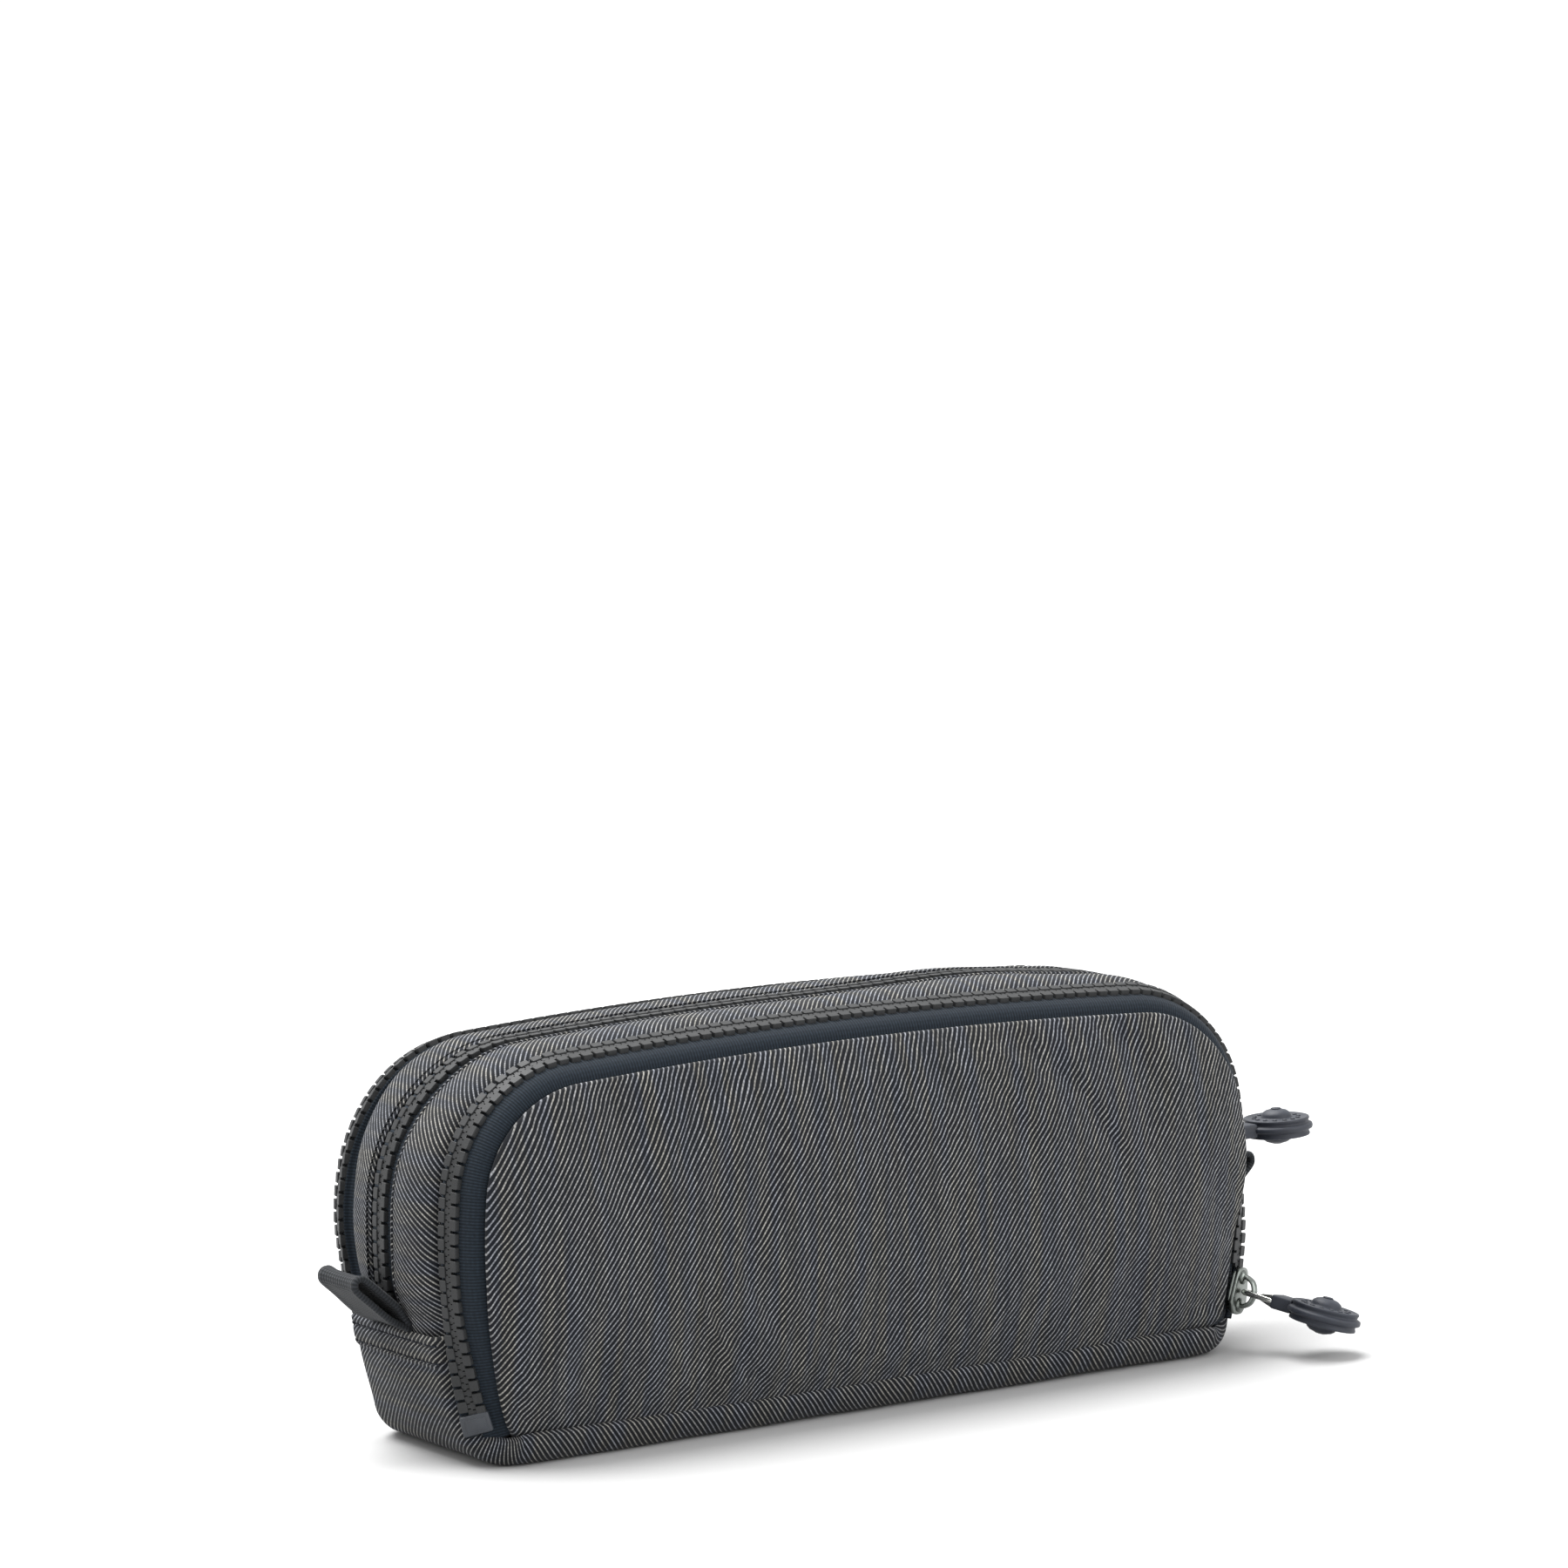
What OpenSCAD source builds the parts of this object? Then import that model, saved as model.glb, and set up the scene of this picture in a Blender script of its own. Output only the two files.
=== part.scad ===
// Soft three-zip pencil case: a loaf-shaped denim case whose three zips run
// over the arch from one end to the other.
// Frame: origin at the centre of the underside, +X along the length towards the
// end where the sliders park, +Y towards the rear panel, +Z up. Millimetres.

/* [Arch] */
// Half of the length at the front zip's widest height
half_length = 107; // [95:1:125]
// Half of the length at the bottom seam
half_length_foot = 101.9; // [92:0.1:110]
// Height of the widest point above the table
wide_height = 46; // [38:1:54]
// Height of the front zip at the middle of the arch
arch_height = 93.4; // [80:0.2:105]
// Radius of the arch's two upper corners
corner_r = 31.3; // [24:0.1:36]
// Rise of the top between its corners and its middle
top_crown = 2.7; // [1:0.1:8]
// How far the gusset and the middle zip stand out past the front zip
gusset_proud = 4.2; // [3:0.1:6]

/* [Depth] */
// Distance of the front and rear zips from the middle plane
zip_y = 26; // [24:0.2:32]
// Distance from the middle plane to the panels' bottom edges
foot_y = 33.5; // [31:0.1:40]
// How far the panels bulge past their edges
panel_bulge = 4.6; // [2:0.2:8]

/* [Base] */
// Height of the seam between the base roll and the panels
seam_height = 8.5; // [7:0.5:12]
// Height of the hem at each end, where the loops are caught
hem_height = 30.5; // [26:0.5:36]
// Radius of the base's rounded ends
base_corner_r = 11; // [8:1:14]

/* [Cloth] */
// Thickness of the padded denim
denim_t = 1.4; // [1:0.1:2]
// Thickness of the lining
lining_t = 0.5; // [0.4:0.1:1]
// Thickness of the zip tape
tape_t = 0.6; // [0.4:0.1:1]

/* [Zips] */
// Distance from a chain's middle to the outside of its teeth
chain_half_w = 3; // [2.6:0.1:3.4]
// Distance from a chain's middle to the inside of each row of teeth
chain_gap = 0.8; // [0.6:0.1:1]
// Thickness of the teeth
chain_t = 2.4; // [2:0.1:2.8]
// Width of the tape from the chain's middle to the panel
tape_w = 8.9; // [7:0.1:11]
// Tilt of the front and rear zips towards the panels on the arch
arch_tilt = 36; // [25:1:45]
// Tilt of the front and rear zips at their lower ends
foot_tilt = 60; // [45:1:65]

/* [Sliders and pulls] */
// Length of a slider
slider_l = 11.6; // [10:0.2:14]
// Width of a slider
slider_w = 8; // [7:0.2:8.4]
// Height of the front and rear sliders when the case is closed
slider_park = 14.8; // [14.6:0.1:18]
// Height of the middle slider when the case is closed
middle_park = 48; // [42:1:52]
// Diameter of the round grip
grip_d = 18; // [14:1:22]
// Distance from the pull's pivot to the middle of its grip
pull_reach = 21.5; // [19:0.5:26]
// Angle by which the front and rear pulls hang below their sliders' faces
pull_dip = 6; // [0:1:8]

/* [Webbing loops] */
// Width of the webbing
loop_w = 18; // [12:1:22]
// Length by which a loop sticks out
loop_out = 17; // [12:1:24]
// Thickness of the webbing
loop_t = 1.6; // [1.2:0.1:2.2]

/* [Hidden] */
$fn = 48;

DENIM = "#3b424d";
LINING = "#23262b";
TAPE = "#2b3742";
TEETH = "#5b5d5f";
METAL = "#9a9d98";
RUBBER = "#4a4e58";
WEBBING = "#45474c";

// The arch is five arcs that meet smoothly: side, corner, top, corner, side.
side_in = half_length - half_length_foot;
side_r = (pow(wide_height - seam_height, 2) + pow(side_in, 2)) / (2 * side_in);
crown_x = 0.75 * half_length;
top_r = (pow(crown_x, 2) + pow(top_crown, 2)) / (2 * top_crown);
side_c = [half_length - side_r, wide_height];
top_c = [0, arch_height - top_r];
// Centre of the corner arc, at side_r - corner_r and top_r - corner_r from the others
span = norm(top_c - side_c);
near_side = side_r - corner_r;
near_top = top_r - corner_r;
along = (pow(near_side, 2) - pow(near_top, 2) + pow(span, 2)) / (2 * span);
across = sqrt(pow(near_side, 2) - pow(along, 2));
to_top = (top_c - side_c) / span;
corner_c = side_c + along * to_top + across * [-to_top[1], to_top[0]];
foot_angle = -asin((wide_height - seam_height) / side_r);
corner_start = atan2(corner_c[1] - side_c[1], corner_c[0] - side_c[0]);
corner_end = atan2(corner_c[1] - top_c[1], corner_c[0] - top_c[0]);

// A station is [centre x, centre z, radius, angle] of one point on the arch.
function arc(c, r, a, b, steps) = [for (i = [0:steps]) [c[0], c[1], r, a + (b - a) * i / steps]];
function flip(stations) = [
    for (i = [len(stations) - 1:-1:0])
        [-stations[i][0], stations[i][1], stations[i][2], 180 - stations[i][3]]
];
function after_first(list) = [for (i = [1:len(list) - 1]) list[i]];
// The side arc has two close stations just above the parked front slider.
notch_l = 1.5;
slider_top = slider_park + slider_l / 2 + 1.4;
function side_angle(z) = -asin((wide_height - z) / side_r);
function side_arc(start) = start < side_angle(slider_top)
    ? concat(
        arc(side_c, side_r, start, side_angle(slider_top - notch_l), 3),
        arc(side_c, side_r, side_angle(slider_top), corner_start, 5))
    : arc(side_c, side_r, start, corner_start, 6);
function half_arch(start) = concat(
    side_arc(start),
    after_first(arc(corner_c, corner_r, corner_start, corner_end, 9)),
    after_first(arc(top_c, top_r, corner_end, 90, 5))
);
function whole_arch(start) = concat(half_arch(start), after_first(flip(half_arch(start))));
// Point of a station, n inwards from the arch
function on_arch(st, n) = [
    st[0] + (st[2] - n) * cos(st[3]),
    st[1] + (st[2] - n) * sin(st[3])
];
function smooth(t) = let (u = max(0, min(1, t))) u * u * (3 - 2 * u);

// The zips turn to face forwards at their lower ends; the slider's end keeps
// that tilt over the slider's whole travel.
turn_from_right = 38;
turn_to_right = 66;
turn_to_left = 42;
function tilt(st) =
    let (z = on_arch(st, 0)[1])
    let (u = cos(st[3]) > 0
        ? smooth((z - turn_from_right) / (turn_to_right - turn_from_right))
        : smooth((z - seam_height) / (turn_to_left - seam_height)))
    foot_tilt + (arch_tilt - foot_tilt) * u;

// Profile points are [y, n]. zip_pt is d across the front zip towards the panel
// and e out of its face.
function zip_pt(st, d, e) = [
    -(zip_y + d * cos(tilt(st)) + e * sin(tilt(st))),
    d * sin(tilt(st)) - e * cos(tilt(st))
];

// Sweeps one closed profile per station into a solid.
module sweep(stations, profiles) {
    k = len(profiles[0]);
    last = len(stations) - 1;
    points = [
        for (i = [0:last])
            for (p = profiles[i])
                let (q = on_arch(stations[i], p[1])) [q[0], p[0], q[1]]
    ];
    sides = [
        for (i = [0:last - 1])
            for (j = [0:k - 1])
                let (a = i * k + j, b = i * k + (j + 1) % k) [a, b, b + k, a + k]
    ];
    ends = [[for (j = [k - 1:-1:0]) j], [for (j = [0:k - 1]) last * k + j]];
    polyhedron(points = points, faces = concat(sides, ends), convexity = 8);
}

module mirrored(rear) {
    if (rear) mirror([0, 1, 0]) children();
    else children();
}

// ---- Gusset strips, tapes and teeth (front; the rear ones are mirrored) ----

gusset_edge_y = 21.5;
middle_edge_y = 5.2;
edge_proud = 3.6;

function strip_profile(top_n_edge, top_n_mid, t) = [
    [-gusset_edge_y, top_n_edge], [-gusset_edge_y, top_n_edge + t],
    [-middle_edge_y, top_n_mid + t], [-middle_edge_y, top_n_mid]
];

hem_gap = 0.7;
gusset_start = side_angle(hem_height + hem_gap);

module gusset(rear) {
    stations = whole_arch(gusset_start);
    color(DENIM)
        mirrored(rear)
            sweep(stations, [for (st = stations) strip_profile(-edge_proud, -gusset_proud, denim_t)]);
}

module gusset_lining(rear) {
    stations = whole_arch(gusset_start);
    color(LINING)
        mirrored(rear)
            sweep(stations, [
                for (st = stations)
                    strip_profile(denim_t - edge_proud, denim_t - gusset_proud, lining_t)
            ]);
}

// Distance from the chain's middle to the edge of the tape beside the teeth
tape_edge = chain_half_w + 0.1;
// Width of tape that stays in the zip's own plane on the gusset side
inner_flat = 5;

module inner_tape(rear) {
    stations = whole_arch(foot_angle);
    color(TAPE)
        mirrored(rear)
            sweep(stations, [
                for (st = stations) [
                    zip_pt(st, -tape_edge, tape_t / 2),
                    zip_pt(st, -tape_edge, -tape_t / 2),
                    zip_pt(st, -inner_flat, -tape_t / 2),
                    [-gusset_edge_y, tape_t - edge_proud],
                    [-gusset_edge_y, -edge_proud],
                    zip_pt(st, -inner_flat, tape_t / 2)
                ]
            ]);
}

function teeth_profile(st, side) =
    let (a = side > 0 ? chain_gap : -chain_half_w, b = side > 0 ? chain_half_w : -chain_gap) [
        zip_pt(st, b, chain_t / 2), zip_pt(st, b, -chain_t / 2),
        zip_pt(st, a, -chain_t / 2), zip_pt(st, a, chain_t / 2)
    ];

// The chain starts above the moulded stop on the left.
stop_h = 5;
stop_gap = 0.2;
left_chain_z = seam_height + stop_h + stop_gap;
function from_right(stations, z) = [for (st = stations) if (cos(st[3]) < 0 || on_arch(st, 0)[1] >= z) st];
function from_left(stations, z) = [for (st = stations) if (cos(st[3]) > 0 || on_arch(st, 0)[1] >= z) st];

module inner_teeth(rear) {
    stations = from_left(whole_arch(foot_angle), left_chain_z);
    color(TEETH)
        mirrored(rear)
            sweep(stations, [for (st = stations) teeth_profile(st, -1)]);
}

// The outer row and the inside of the outer tape stop above the parked slider.
cut_tolerance = 0.01;

module outer_teeth(rear) {
    stations = from_right(from_left(whole_arch(foot_angle), left_chain_z), slider_top - cut_tolerance);
    color(TEETH)
        mirrored(rear)
            sweep(stations, [for (st = stations) teeth_profile(st, 1)]);
}

outer_flat = slider_w / 2 + 0.8;
function beside_slider(st) = cos(st[3]) > 0 && on_arch(st, 0)[1] < slider_top - cut_tolerance;
function outer_inside(st) = beside_slider(st) ? outer_flat : tape_edge;

module outer_tape(rear) {
    stations = whole_arch(foot_angle);
    color(TAPE)
        mirrored(rear)
            sweep(stations, [
                for (st = stations) [
                    zip_pt(st, tape_w, tape_t / 2), zip_pt(st, tape_w, -tape_t / 2),
                    zip_pt(st, outer_inside(st), -tape_t / 2), zip_pt(st, outer_inside(st), tape_t / 2)
                ]
            ]);
}

function middle_profile(a, b, t) = [
    [-b, -gusset_proud - t / 2], [-b, -gusset_proud + t / 2],
    [-a, -gusset_proud + t / 2], [-a, -gusset_proud - t / 2]
];

module middle_tape(rear) {
    stations = whole_arch(gusset_start);
    color(TAPE)
        mirrored(rear)
            sweep(stations, [for (st = stations) middle_profile(tape_edge, middle_edge_y, tape_t)]);
}

module middle_teeth(rear) {
    stations = from_left(whole_arch(gusset_start), hem_height + stop_h + stop_gap);
    color(TEETH)
        mirrored(rear)
            sweep(stations, [for (st = stations) middle_profile(chain_gap, chain_half_w, chain_t)]);
}

// Moulded stops at the left ends of the chains
stop_half_w = 2.6;
stop_t = 2.8;
function stop_stations(z) = flip(arc(side_c, side_r, side_angle(z), side_angle(z + stop_h - 0.4), 3));

module outer_stop(rear) {
    stations = stop_stations(seam_height);
    color(TEETH)
        mirrored(rear)
            sweep(stations, [
                for (st = stations) [
                    zip_pt(st, stop_half_w, stop_t / 2), zip_pt(st, stop_half_w, -stop_t / 2),
                    zip_pt(st, -chain_half_w, -stop_t / 2), zip_pt(st, -chain_half_w, stop_t / 2)
                ]
            ]);
}

module middle_stop() {
    stations = stop_stations(hem_height + hem_gap);
    color(TEETH)
        sweep(stations, [for (st = stations) middle_profile(-stop_half_w, stop_half_w, stop_t)]);
}

// ---- Panels: dished sheets inside the zip tapes ----

panel_gap = 0.5;
foot_steps = 8;
rim_stations = whole_arch(foot_angle);
// Edge of a panel: along the tape, then back along the bottom seam
arch_edge = [
    for (st = rim_stations)
        let (p = zip_pt(st, tape_w + panel_gap, 0), q = on_arch(st, p[1])) [q[0], p[0], q[1]]
];
foot_x = arch_edge[0][0];
corner_y = arch_edge[0][1];
foot_edge = [
    for (i = [1:foot_steps - 1])
        let (u = 2 * i / foot_steps - 1) [u * foot_x, corner_y - (foot_y + corner_y) * (1 - u * u), seam_height]
];
edge = concat(arch_edge, foot_edge);

// Rings of the dish: share of the edge's size, share of the full bulge
RINGS = [[1, 0], [0.95, 0.36], [0.86, 0.66], [0.7, 0.88], [0.45, 1]];
function ring_pt(p, ring, shift) = [
    p[0] * ring[0],
    p[1] * (1 - ring[1]) - foot_y * ring[1] - panel_bulge * ring[1] + shift,
    wide_height + (p[2] - wide_height) * ring[0]
];

// A dished sheet between two depths behind the panel's middle surface
module dish(shrink, near_shift, far_shift) {
    count = len(edge);
    rings = [for (r = RINGS) [r[0] - shrink, r[1]]];
    order = concat([for (r = rings) [r, near_shift]], [for (i = [len(rings) - 1:-1:0]) [rings[i], far_shift]]);
    last = len(order) - 1;
    points = [for (o = order) for (p = edge) ring_pt(p, o[0], o[1])];
    // The near and far sheets meet at the edge, and each is closed in the middle.
    half = len(rings);
    walls = [
        for (i = [0:last])
            if (i != half - 1)
                let (a = i * count, b = ((i + 1) % (last + 1)) * count)
                    for (j = [0:count - 1])
                        let (k = (j + 1) % count) [a + j, b + j, b + k, a + k]
    ];
    near_cap = [for (j = [count - 1:-1:0]) (half - 1) * count + j];
    far_cap = [for (j = [0:count - 1]) half * count + j];
    polyhedron(points = points, faces = concat(walls, [near_cap, far_cap]), convexity = 6);
}

module panel(rear) {
    color(DENIM) mirrored(rear) dish(0, -denim_t / 2, denim_t / 2);
}

lining_shrink = 0.02;
module panel_lining(rear) {
    color(LINING) mirrored(rear) dish(lining_shrink, denim_t / 2 + 0.05, denim_t / 2 + 0.05 + lining_t);
}

// ---- Dividers between the compartments ----

divider_t = 0.8;
divider_top_y = 7;
divider_foot_y = 12;
divider_n = -1.2;
divider_foot_z = 2.6;
divider_corner_r = 8;
divider_height = arch_height - divider_foot_z;
divider_lean = atan((divider_foot_y - divider_top_y) / divider_height);

module divider(rear) {
    upper = [for (st = half_arch(side_angle(divider_foot_z + divider_corner_r))) on_arch(st, divider_n)];
    low_c = [upper[0][0] - divider_corner_r, divider_foot_z + divider_corner_r];
    lower = [for (i = [0:5]) low_c + divider_corner_r * [cos(-90 + 18 * i), sin(-90 + 18 * i)]];
    right = concat(lower, after_first(upper));
    left = [for (i = [len(right) - 2:-1:0]) [-right[i][0], right[i][1]]];
    outline = [for (p = concat(right, left)) [p[0], p[1] - divider_foot_z]];
    color(LINING)
        mirrored(rear)
            translate([0, -divider_foot_y, divider_foot_z])
                rotate([90 - divider_lean, 0, 0])
                    linear_extrude(height = divider_t, center = true)
                        polygon(outline);
}

// ---- Base: a shallow tray whose ends rise to the hems ----

plan_corner_r = 20;
roll_r = 8;
roll_gap = 1.5;
roll_top = seam_height - roll_gap;
end_half_w = gusset_edge_y - 0.3;
above = 60;

// End view of the tray, o inside its outer face
function tray_right(o) = concat(
    [for (i = [0:6])
        let (r = base_corner_r - o, c = on_arch([side_c[0], side_c[1], side_r, side_angle(base_corner_r)], o - edge_proud))
            [c[0] - r + r * cos(-90 + 15 * i), base_corner_r + r * sin(-90 + 15 * i)]],
    [for (i = [1:6])
        on_arch([side_c[0], side_c[1], side_r, side_angle(base_corner_r + (wide_height - base_corner_r) * i / 6)],
            o - edge_proud)],
    [[half_length + edge_proud - o, above]]
);

module tray_solid(o) {
    right = tray_right(o);
    left = [for (i = [len(right) - 1:-1:0]) [-right[i][0], right[i][1]]];
    reach = half_length + edge_proud + 1;
    r = roll_r - o;
    roll = [for (i = [0:6]) [foot_y - roll_r + r * cos(-90 + 15 * i), roll_r + r * sin(-90 + 15 * i)]];
    roll_left = [for (i = [6:-1:0]) [-roll[i][0], roll[i][1]]];
    intersection() {
        rotate([90, 0, 0])
            linear_extrude(height = 2 * foot_y + 2, center = true)
                polygon(concat(right, left));
        rotate([90, 0, 90])
            linear_extrude(height = 2 * reach, center = true)
                polygon(concat(roll, [[foot_y - o, above], [o - foot_y, above]], roll_left));
        linear_extrude(height = above)
            plan(half_length + edge_proud - o, foot_y - o, plan_corner_r - o);
    }
}

module plan(x, y, r) {
    square([2 * x, 2 * (y - r)], center = true);
    square([2 * (x - r), 2 * y], center = true);
    for (sx = [-1, 1])
        for (sy = [-1, 1])
            translate([sx * (x - r), sy * (y - r)]) circle(r = r);
}

module tray(o, t, top, hem) {
    intersection() {
        difference() {
            tray_solid(o);
            tray_solid(o + t);
        }
        union() {
            translate([-150, -foot_y - 1, -1]) cube([300, 2 * foot_y + 2, top + 1]);
            translate([-150, -end_half_w, -1]) cube([300, 2 * end_half_w, hem + 1]);
        }
    }
}

module base_panel() {
    color(DENIM) tray(0, denim_t, roll_top, hem_height);
}

module base_lining() {
    color(LINING) tray(denim_t, lining_t, roll_top, hem_height);
}

// ---- Webbing loops, caught in the hem at each end ----

loop_slot = 1.6;
loop_rise = 42;
loop_foot = 4;
loop_clear = 3;

module webbing_loop(side) {
    foot_c = on_arch([side_c[0], side_c[1], side_r, side_angle(hem_height)], -edge_proud);
    color(WEBBING)
        mirror([side < 0 ? 1 : 0, 0, 0])
            translate([foot_c[0] + loop_clear, 0, hem_height])
                rotate([90, 0, 0])
                    linear_extrude(height = loop_w, center = true) {
                        rotate(loop_rise) loop_outline();
                        translate([-loop_clear, -2 * loop_t]) square([loop_clear + 1, 1.5 * loop_t]);
                    }
}

// A flattened ring: doubled webbing from the foot, open from there to the nose
module loop_outline() {
    nose = loop_slot / 2 + loop_t;
    bend = loop_out - nose;
    doubled = 2 * loop_t - nose;
    difference() {
        polygon(concat(
            [[0, -nose]],
            [for (a = [-90:15:90]) [bend + nose * cos(a), nose * sin(a)]],
            [[loop_foot, nose], [loop_foot - 1, doubled], [0, doubled]]
        ));
        polygon(concat(
            [[loop_foot, loop_slot / 2], [loop_foot, -loop_slot / 2]],
            [for (a = [-90:30:90]) [bend + loop_slot / 2 * cos(a), loop_slot / 2 * sin(a)]]
        ));
    }
}

// ---- Sliders and pulls ----
// A slider's own frame has +X out of its face, +Z along the chain, upwards,
// and its origin at the middle of the chain.

plate_t = 1.2;
plate_clear = 0.5;
plate_e = chain_t / 2 + plate_clear;
post_half_w = 0.5;
post_l = 2.6;
bridge_r = 3.6;
bridge_t = 1.4;
bridge_w = 2.4;
pivot_e = plate_e + plate_t + 1.2;
link_r = 0.65;
link_half_w = 2.3;
link_l = 8.2;
neck_w = 6.6;
neck_t = 3.4;
grip_t = 6;
dome_r = 4;
dome_h = 1.8;

module at_slider(which) {
    middle = which == "middle";
    z = middle ? middle_park : slider_park;
    r = middle ? side_r + gusset_proud : side_r;
    mirrored(which == "rear")
        translate([side_c[0], 0, side_c[1]])
            rotate([0, middle ? asin((wide_height - z) / r) : -side_angle(z), 0])
                translate([r, middle ? 0 : -zip_y, 0])
                    rotate([0, 0, middle ? 0 : -foot_tilt])
                        children();
}

module plate(e) {
    end_r = slider_w / 2;
    mid = slider_l / 2 - end_r;
    translate([e, 0, 0])
        rotate([0, 90, 0])
            linear_extrude(height = plate_t) {
                square([2 * mid, slider_w], center = true);
                for (s = [-1, 1])
                    translate([s * mid, 0]) circle(r = end_r);
            }
}

module slider_body(which) {
    color(METAL)
        at_slider(which)
            union() {
                plate(plate_e);
                plate(-plate_e - plate_t);
                translate([-plate_e - 0.1, -post_half_w, -slider_l / 2 + 0.8])
                    cube([2 * plate_e + 0.2, 2 * post_half_w, post_l]);
            }
}

module slider_bridge(which) {
    color(METAL)
        at_slider(which)
            intersection() {
                translate([plate_e + plate_t, 0, 0])
                    rotate([90, 0, 0])
                        difference() {
                            cylinder(r = bridge_r, h = bridge_w, center = true);
                            cylinder(r = bridge_r - bridge_t, h = bridge_w + 1, center = true);
                        }
                translate([plate_e + plate_t, -5, -10]) cube([20, 10, 20]);
            }
}

// Frame of a pull: +X from the pivot towards the grip
module at_pull(which) {
    at_slider(which)
        translate([pivot_e, 0, 0])
            rotate([0, which == "middle" ? 0 : pull_dip, 0])
                children();
}

module pull_link(which) {
    color(METAL)
        at_pull(which)
            union() {
                rotate([90, 0, 0]) cylinder(r = link_r, h = 2 * link_half_w, center = true);
                for (s = [-1, 1])
                    translate([0, s * link_half_w, 0]) {
                        sphere(r = link_r);
                        rotate([0, 90, 0]) cylinder(r = link_r, h = link_l);
                    }
            }
}

module pull_grip(which) {
    rim = grip_d / 2;
    flange = rim - 0.5;
    groove = rim - 1;
    h = grip_t / 2;
    color(RUBBER)
        at_pull(which)
            union() {
                translate([link_l, -neck_w / 2, -neck_t / 2])
                    cube([pull_reach - link_l - rim + 2, neck_w, neck_t]);
                translate([pull_reach, 0, 0])
                    rotate_extrude()
                        polygon([
                            [0, -h - dome_h], [dome_r * 0.6, -h - dome_h * 0.8], [dome_r, -h],
                            [flange - 0.4, -h], [flange, 0.4 - h], [flange, -1.4], [groove, -1.1],
                            [rim, -0.6], [rim, 0.6], [groove, 1.1], [flange, 1.4], [flange, h - 0.4],
                            [flange - 0.4, h], [dome_r, h], [dome_r * 0.6, h + dome_h * 0.8], [0, h + dome_h]
                        ]);
            }
}

base_panel();
base_lining();
webbing_loop(-1);  // left_loop
webbing_loop(1);  // right_loop
middle_stop();  // middle_zip_bottom_stop
gusset(false);  // front_gusset
gusset_lining(false);  // front_gusset_lining
divider(false);  // front_divider
inner_tape(false);  // front_zip_inner_tape
inner_teeth(false);  // front_zip_inner_teeth
outer_stop(false);  // front_zip_bottom_stop
middle_tape(false);  // middle_zip_front_tape
middle_teeth(false);  // middle_zip_front_teeth
panel(false);  // front_panel
panel_lining(false);  // front_panel_lining
outer_tape(false);  // front_zip_outer_tape
outer_teeth(false);  // front_zip_outer_teeth
gusset(true);  // rear_gusset
gusset_lining(true);  // rear_gusset_lining
divider(true);  // rear_divider
inner_tape(true);  // rear_zip_inner_tape
inner_teeth(true);  // rear_zip_inner_teeth
outer_stop(true);  // rear_zip_bottom_stop
middle_tape(true);  // middle_zip_rear_tape
middle_teeth(true);  // middle_zip_rear_teeth
panel(true);  // rear_panel
panel_lining(true);  // rear_panel_lining
outer_tape(true);  // rear_zip_outer_tape
outer_teeth(true);  // rear_zip_outer_teeth
slider_body("front");  // front_slider_body
slider_bridge("front");  // front_slider_bridge
pull_link("front");  // front_pull_link
pull_grip("front");  // front_pull_grip
slider_body("middle");  // middle_slider_body
slider_bridge("middle");  // middle_slider_bridge
pull_link("middle");  // middle_pull_link
pull_grip("middle");  // middle_pull_grip
slider_body("rear");  // rear_slider_body
slider_bridge("rear");  // rear_slider_bridge
pull_link("rear");  // rear_pull_link
pull_grip("rear");  // rear_pull_grip
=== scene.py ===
"""Looks of the soft three-zip denim pencil case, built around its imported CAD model.

Every size below is in millimetres and becomes metres in the meshes. The frame is the
CAD's: X along the case towards the end where the sliders park, Y towards the rear
panel, Z up, with the origin at the centre of the underside.
"""

import logging
import math
from dataclasses import dataclass, field
from enum import Enum
from typing import Callable, Optional, Sequence

import bmesh
import bpy
import numpy as np
from mathutils import Matrix, Vector, noise
from mathutils.geometry import delaunay_2d_cdt

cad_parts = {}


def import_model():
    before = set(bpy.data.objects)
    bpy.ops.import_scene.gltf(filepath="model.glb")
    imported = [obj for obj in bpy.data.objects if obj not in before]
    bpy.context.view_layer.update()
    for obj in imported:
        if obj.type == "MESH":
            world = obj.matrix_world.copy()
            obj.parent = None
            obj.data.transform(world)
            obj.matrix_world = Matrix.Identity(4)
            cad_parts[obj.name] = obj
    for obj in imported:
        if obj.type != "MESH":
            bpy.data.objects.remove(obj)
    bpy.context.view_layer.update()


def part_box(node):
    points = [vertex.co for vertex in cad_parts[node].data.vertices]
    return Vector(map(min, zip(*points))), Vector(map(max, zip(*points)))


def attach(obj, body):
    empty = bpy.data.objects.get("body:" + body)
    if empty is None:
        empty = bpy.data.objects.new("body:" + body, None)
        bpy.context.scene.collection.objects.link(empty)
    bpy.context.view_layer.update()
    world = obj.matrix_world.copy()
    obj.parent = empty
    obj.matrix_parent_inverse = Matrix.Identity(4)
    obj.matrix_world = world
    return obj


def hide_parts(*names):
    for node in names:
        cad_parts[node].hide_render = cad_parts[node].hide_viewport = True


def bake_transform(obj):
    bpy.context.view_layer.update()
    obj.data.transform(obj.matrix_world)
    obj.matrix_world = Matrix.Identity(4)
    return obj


LOG = logging.getLogger("pencil_case")
MM = 0.001
TAU = 2 * math.pi


class Side(Enum):
    """The two mirrored halves of the case, by the sign of Y."""

    FRONT = -1
    REAR = 1

    @property
    def word(self) -> str:
        """The half's name as the CAD's nodes spell it."""
        return self.name.lower()


# ---- Small numeric helpers ----


def smooth(t: np.ndarray) -> np.ndarray:
    """Smooth step from 0 to 1 of t, clipped to that range."""
    u = np.clip(t, 0.0, 1.0)
    return u * u * (3 - 2 * u)


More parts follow.
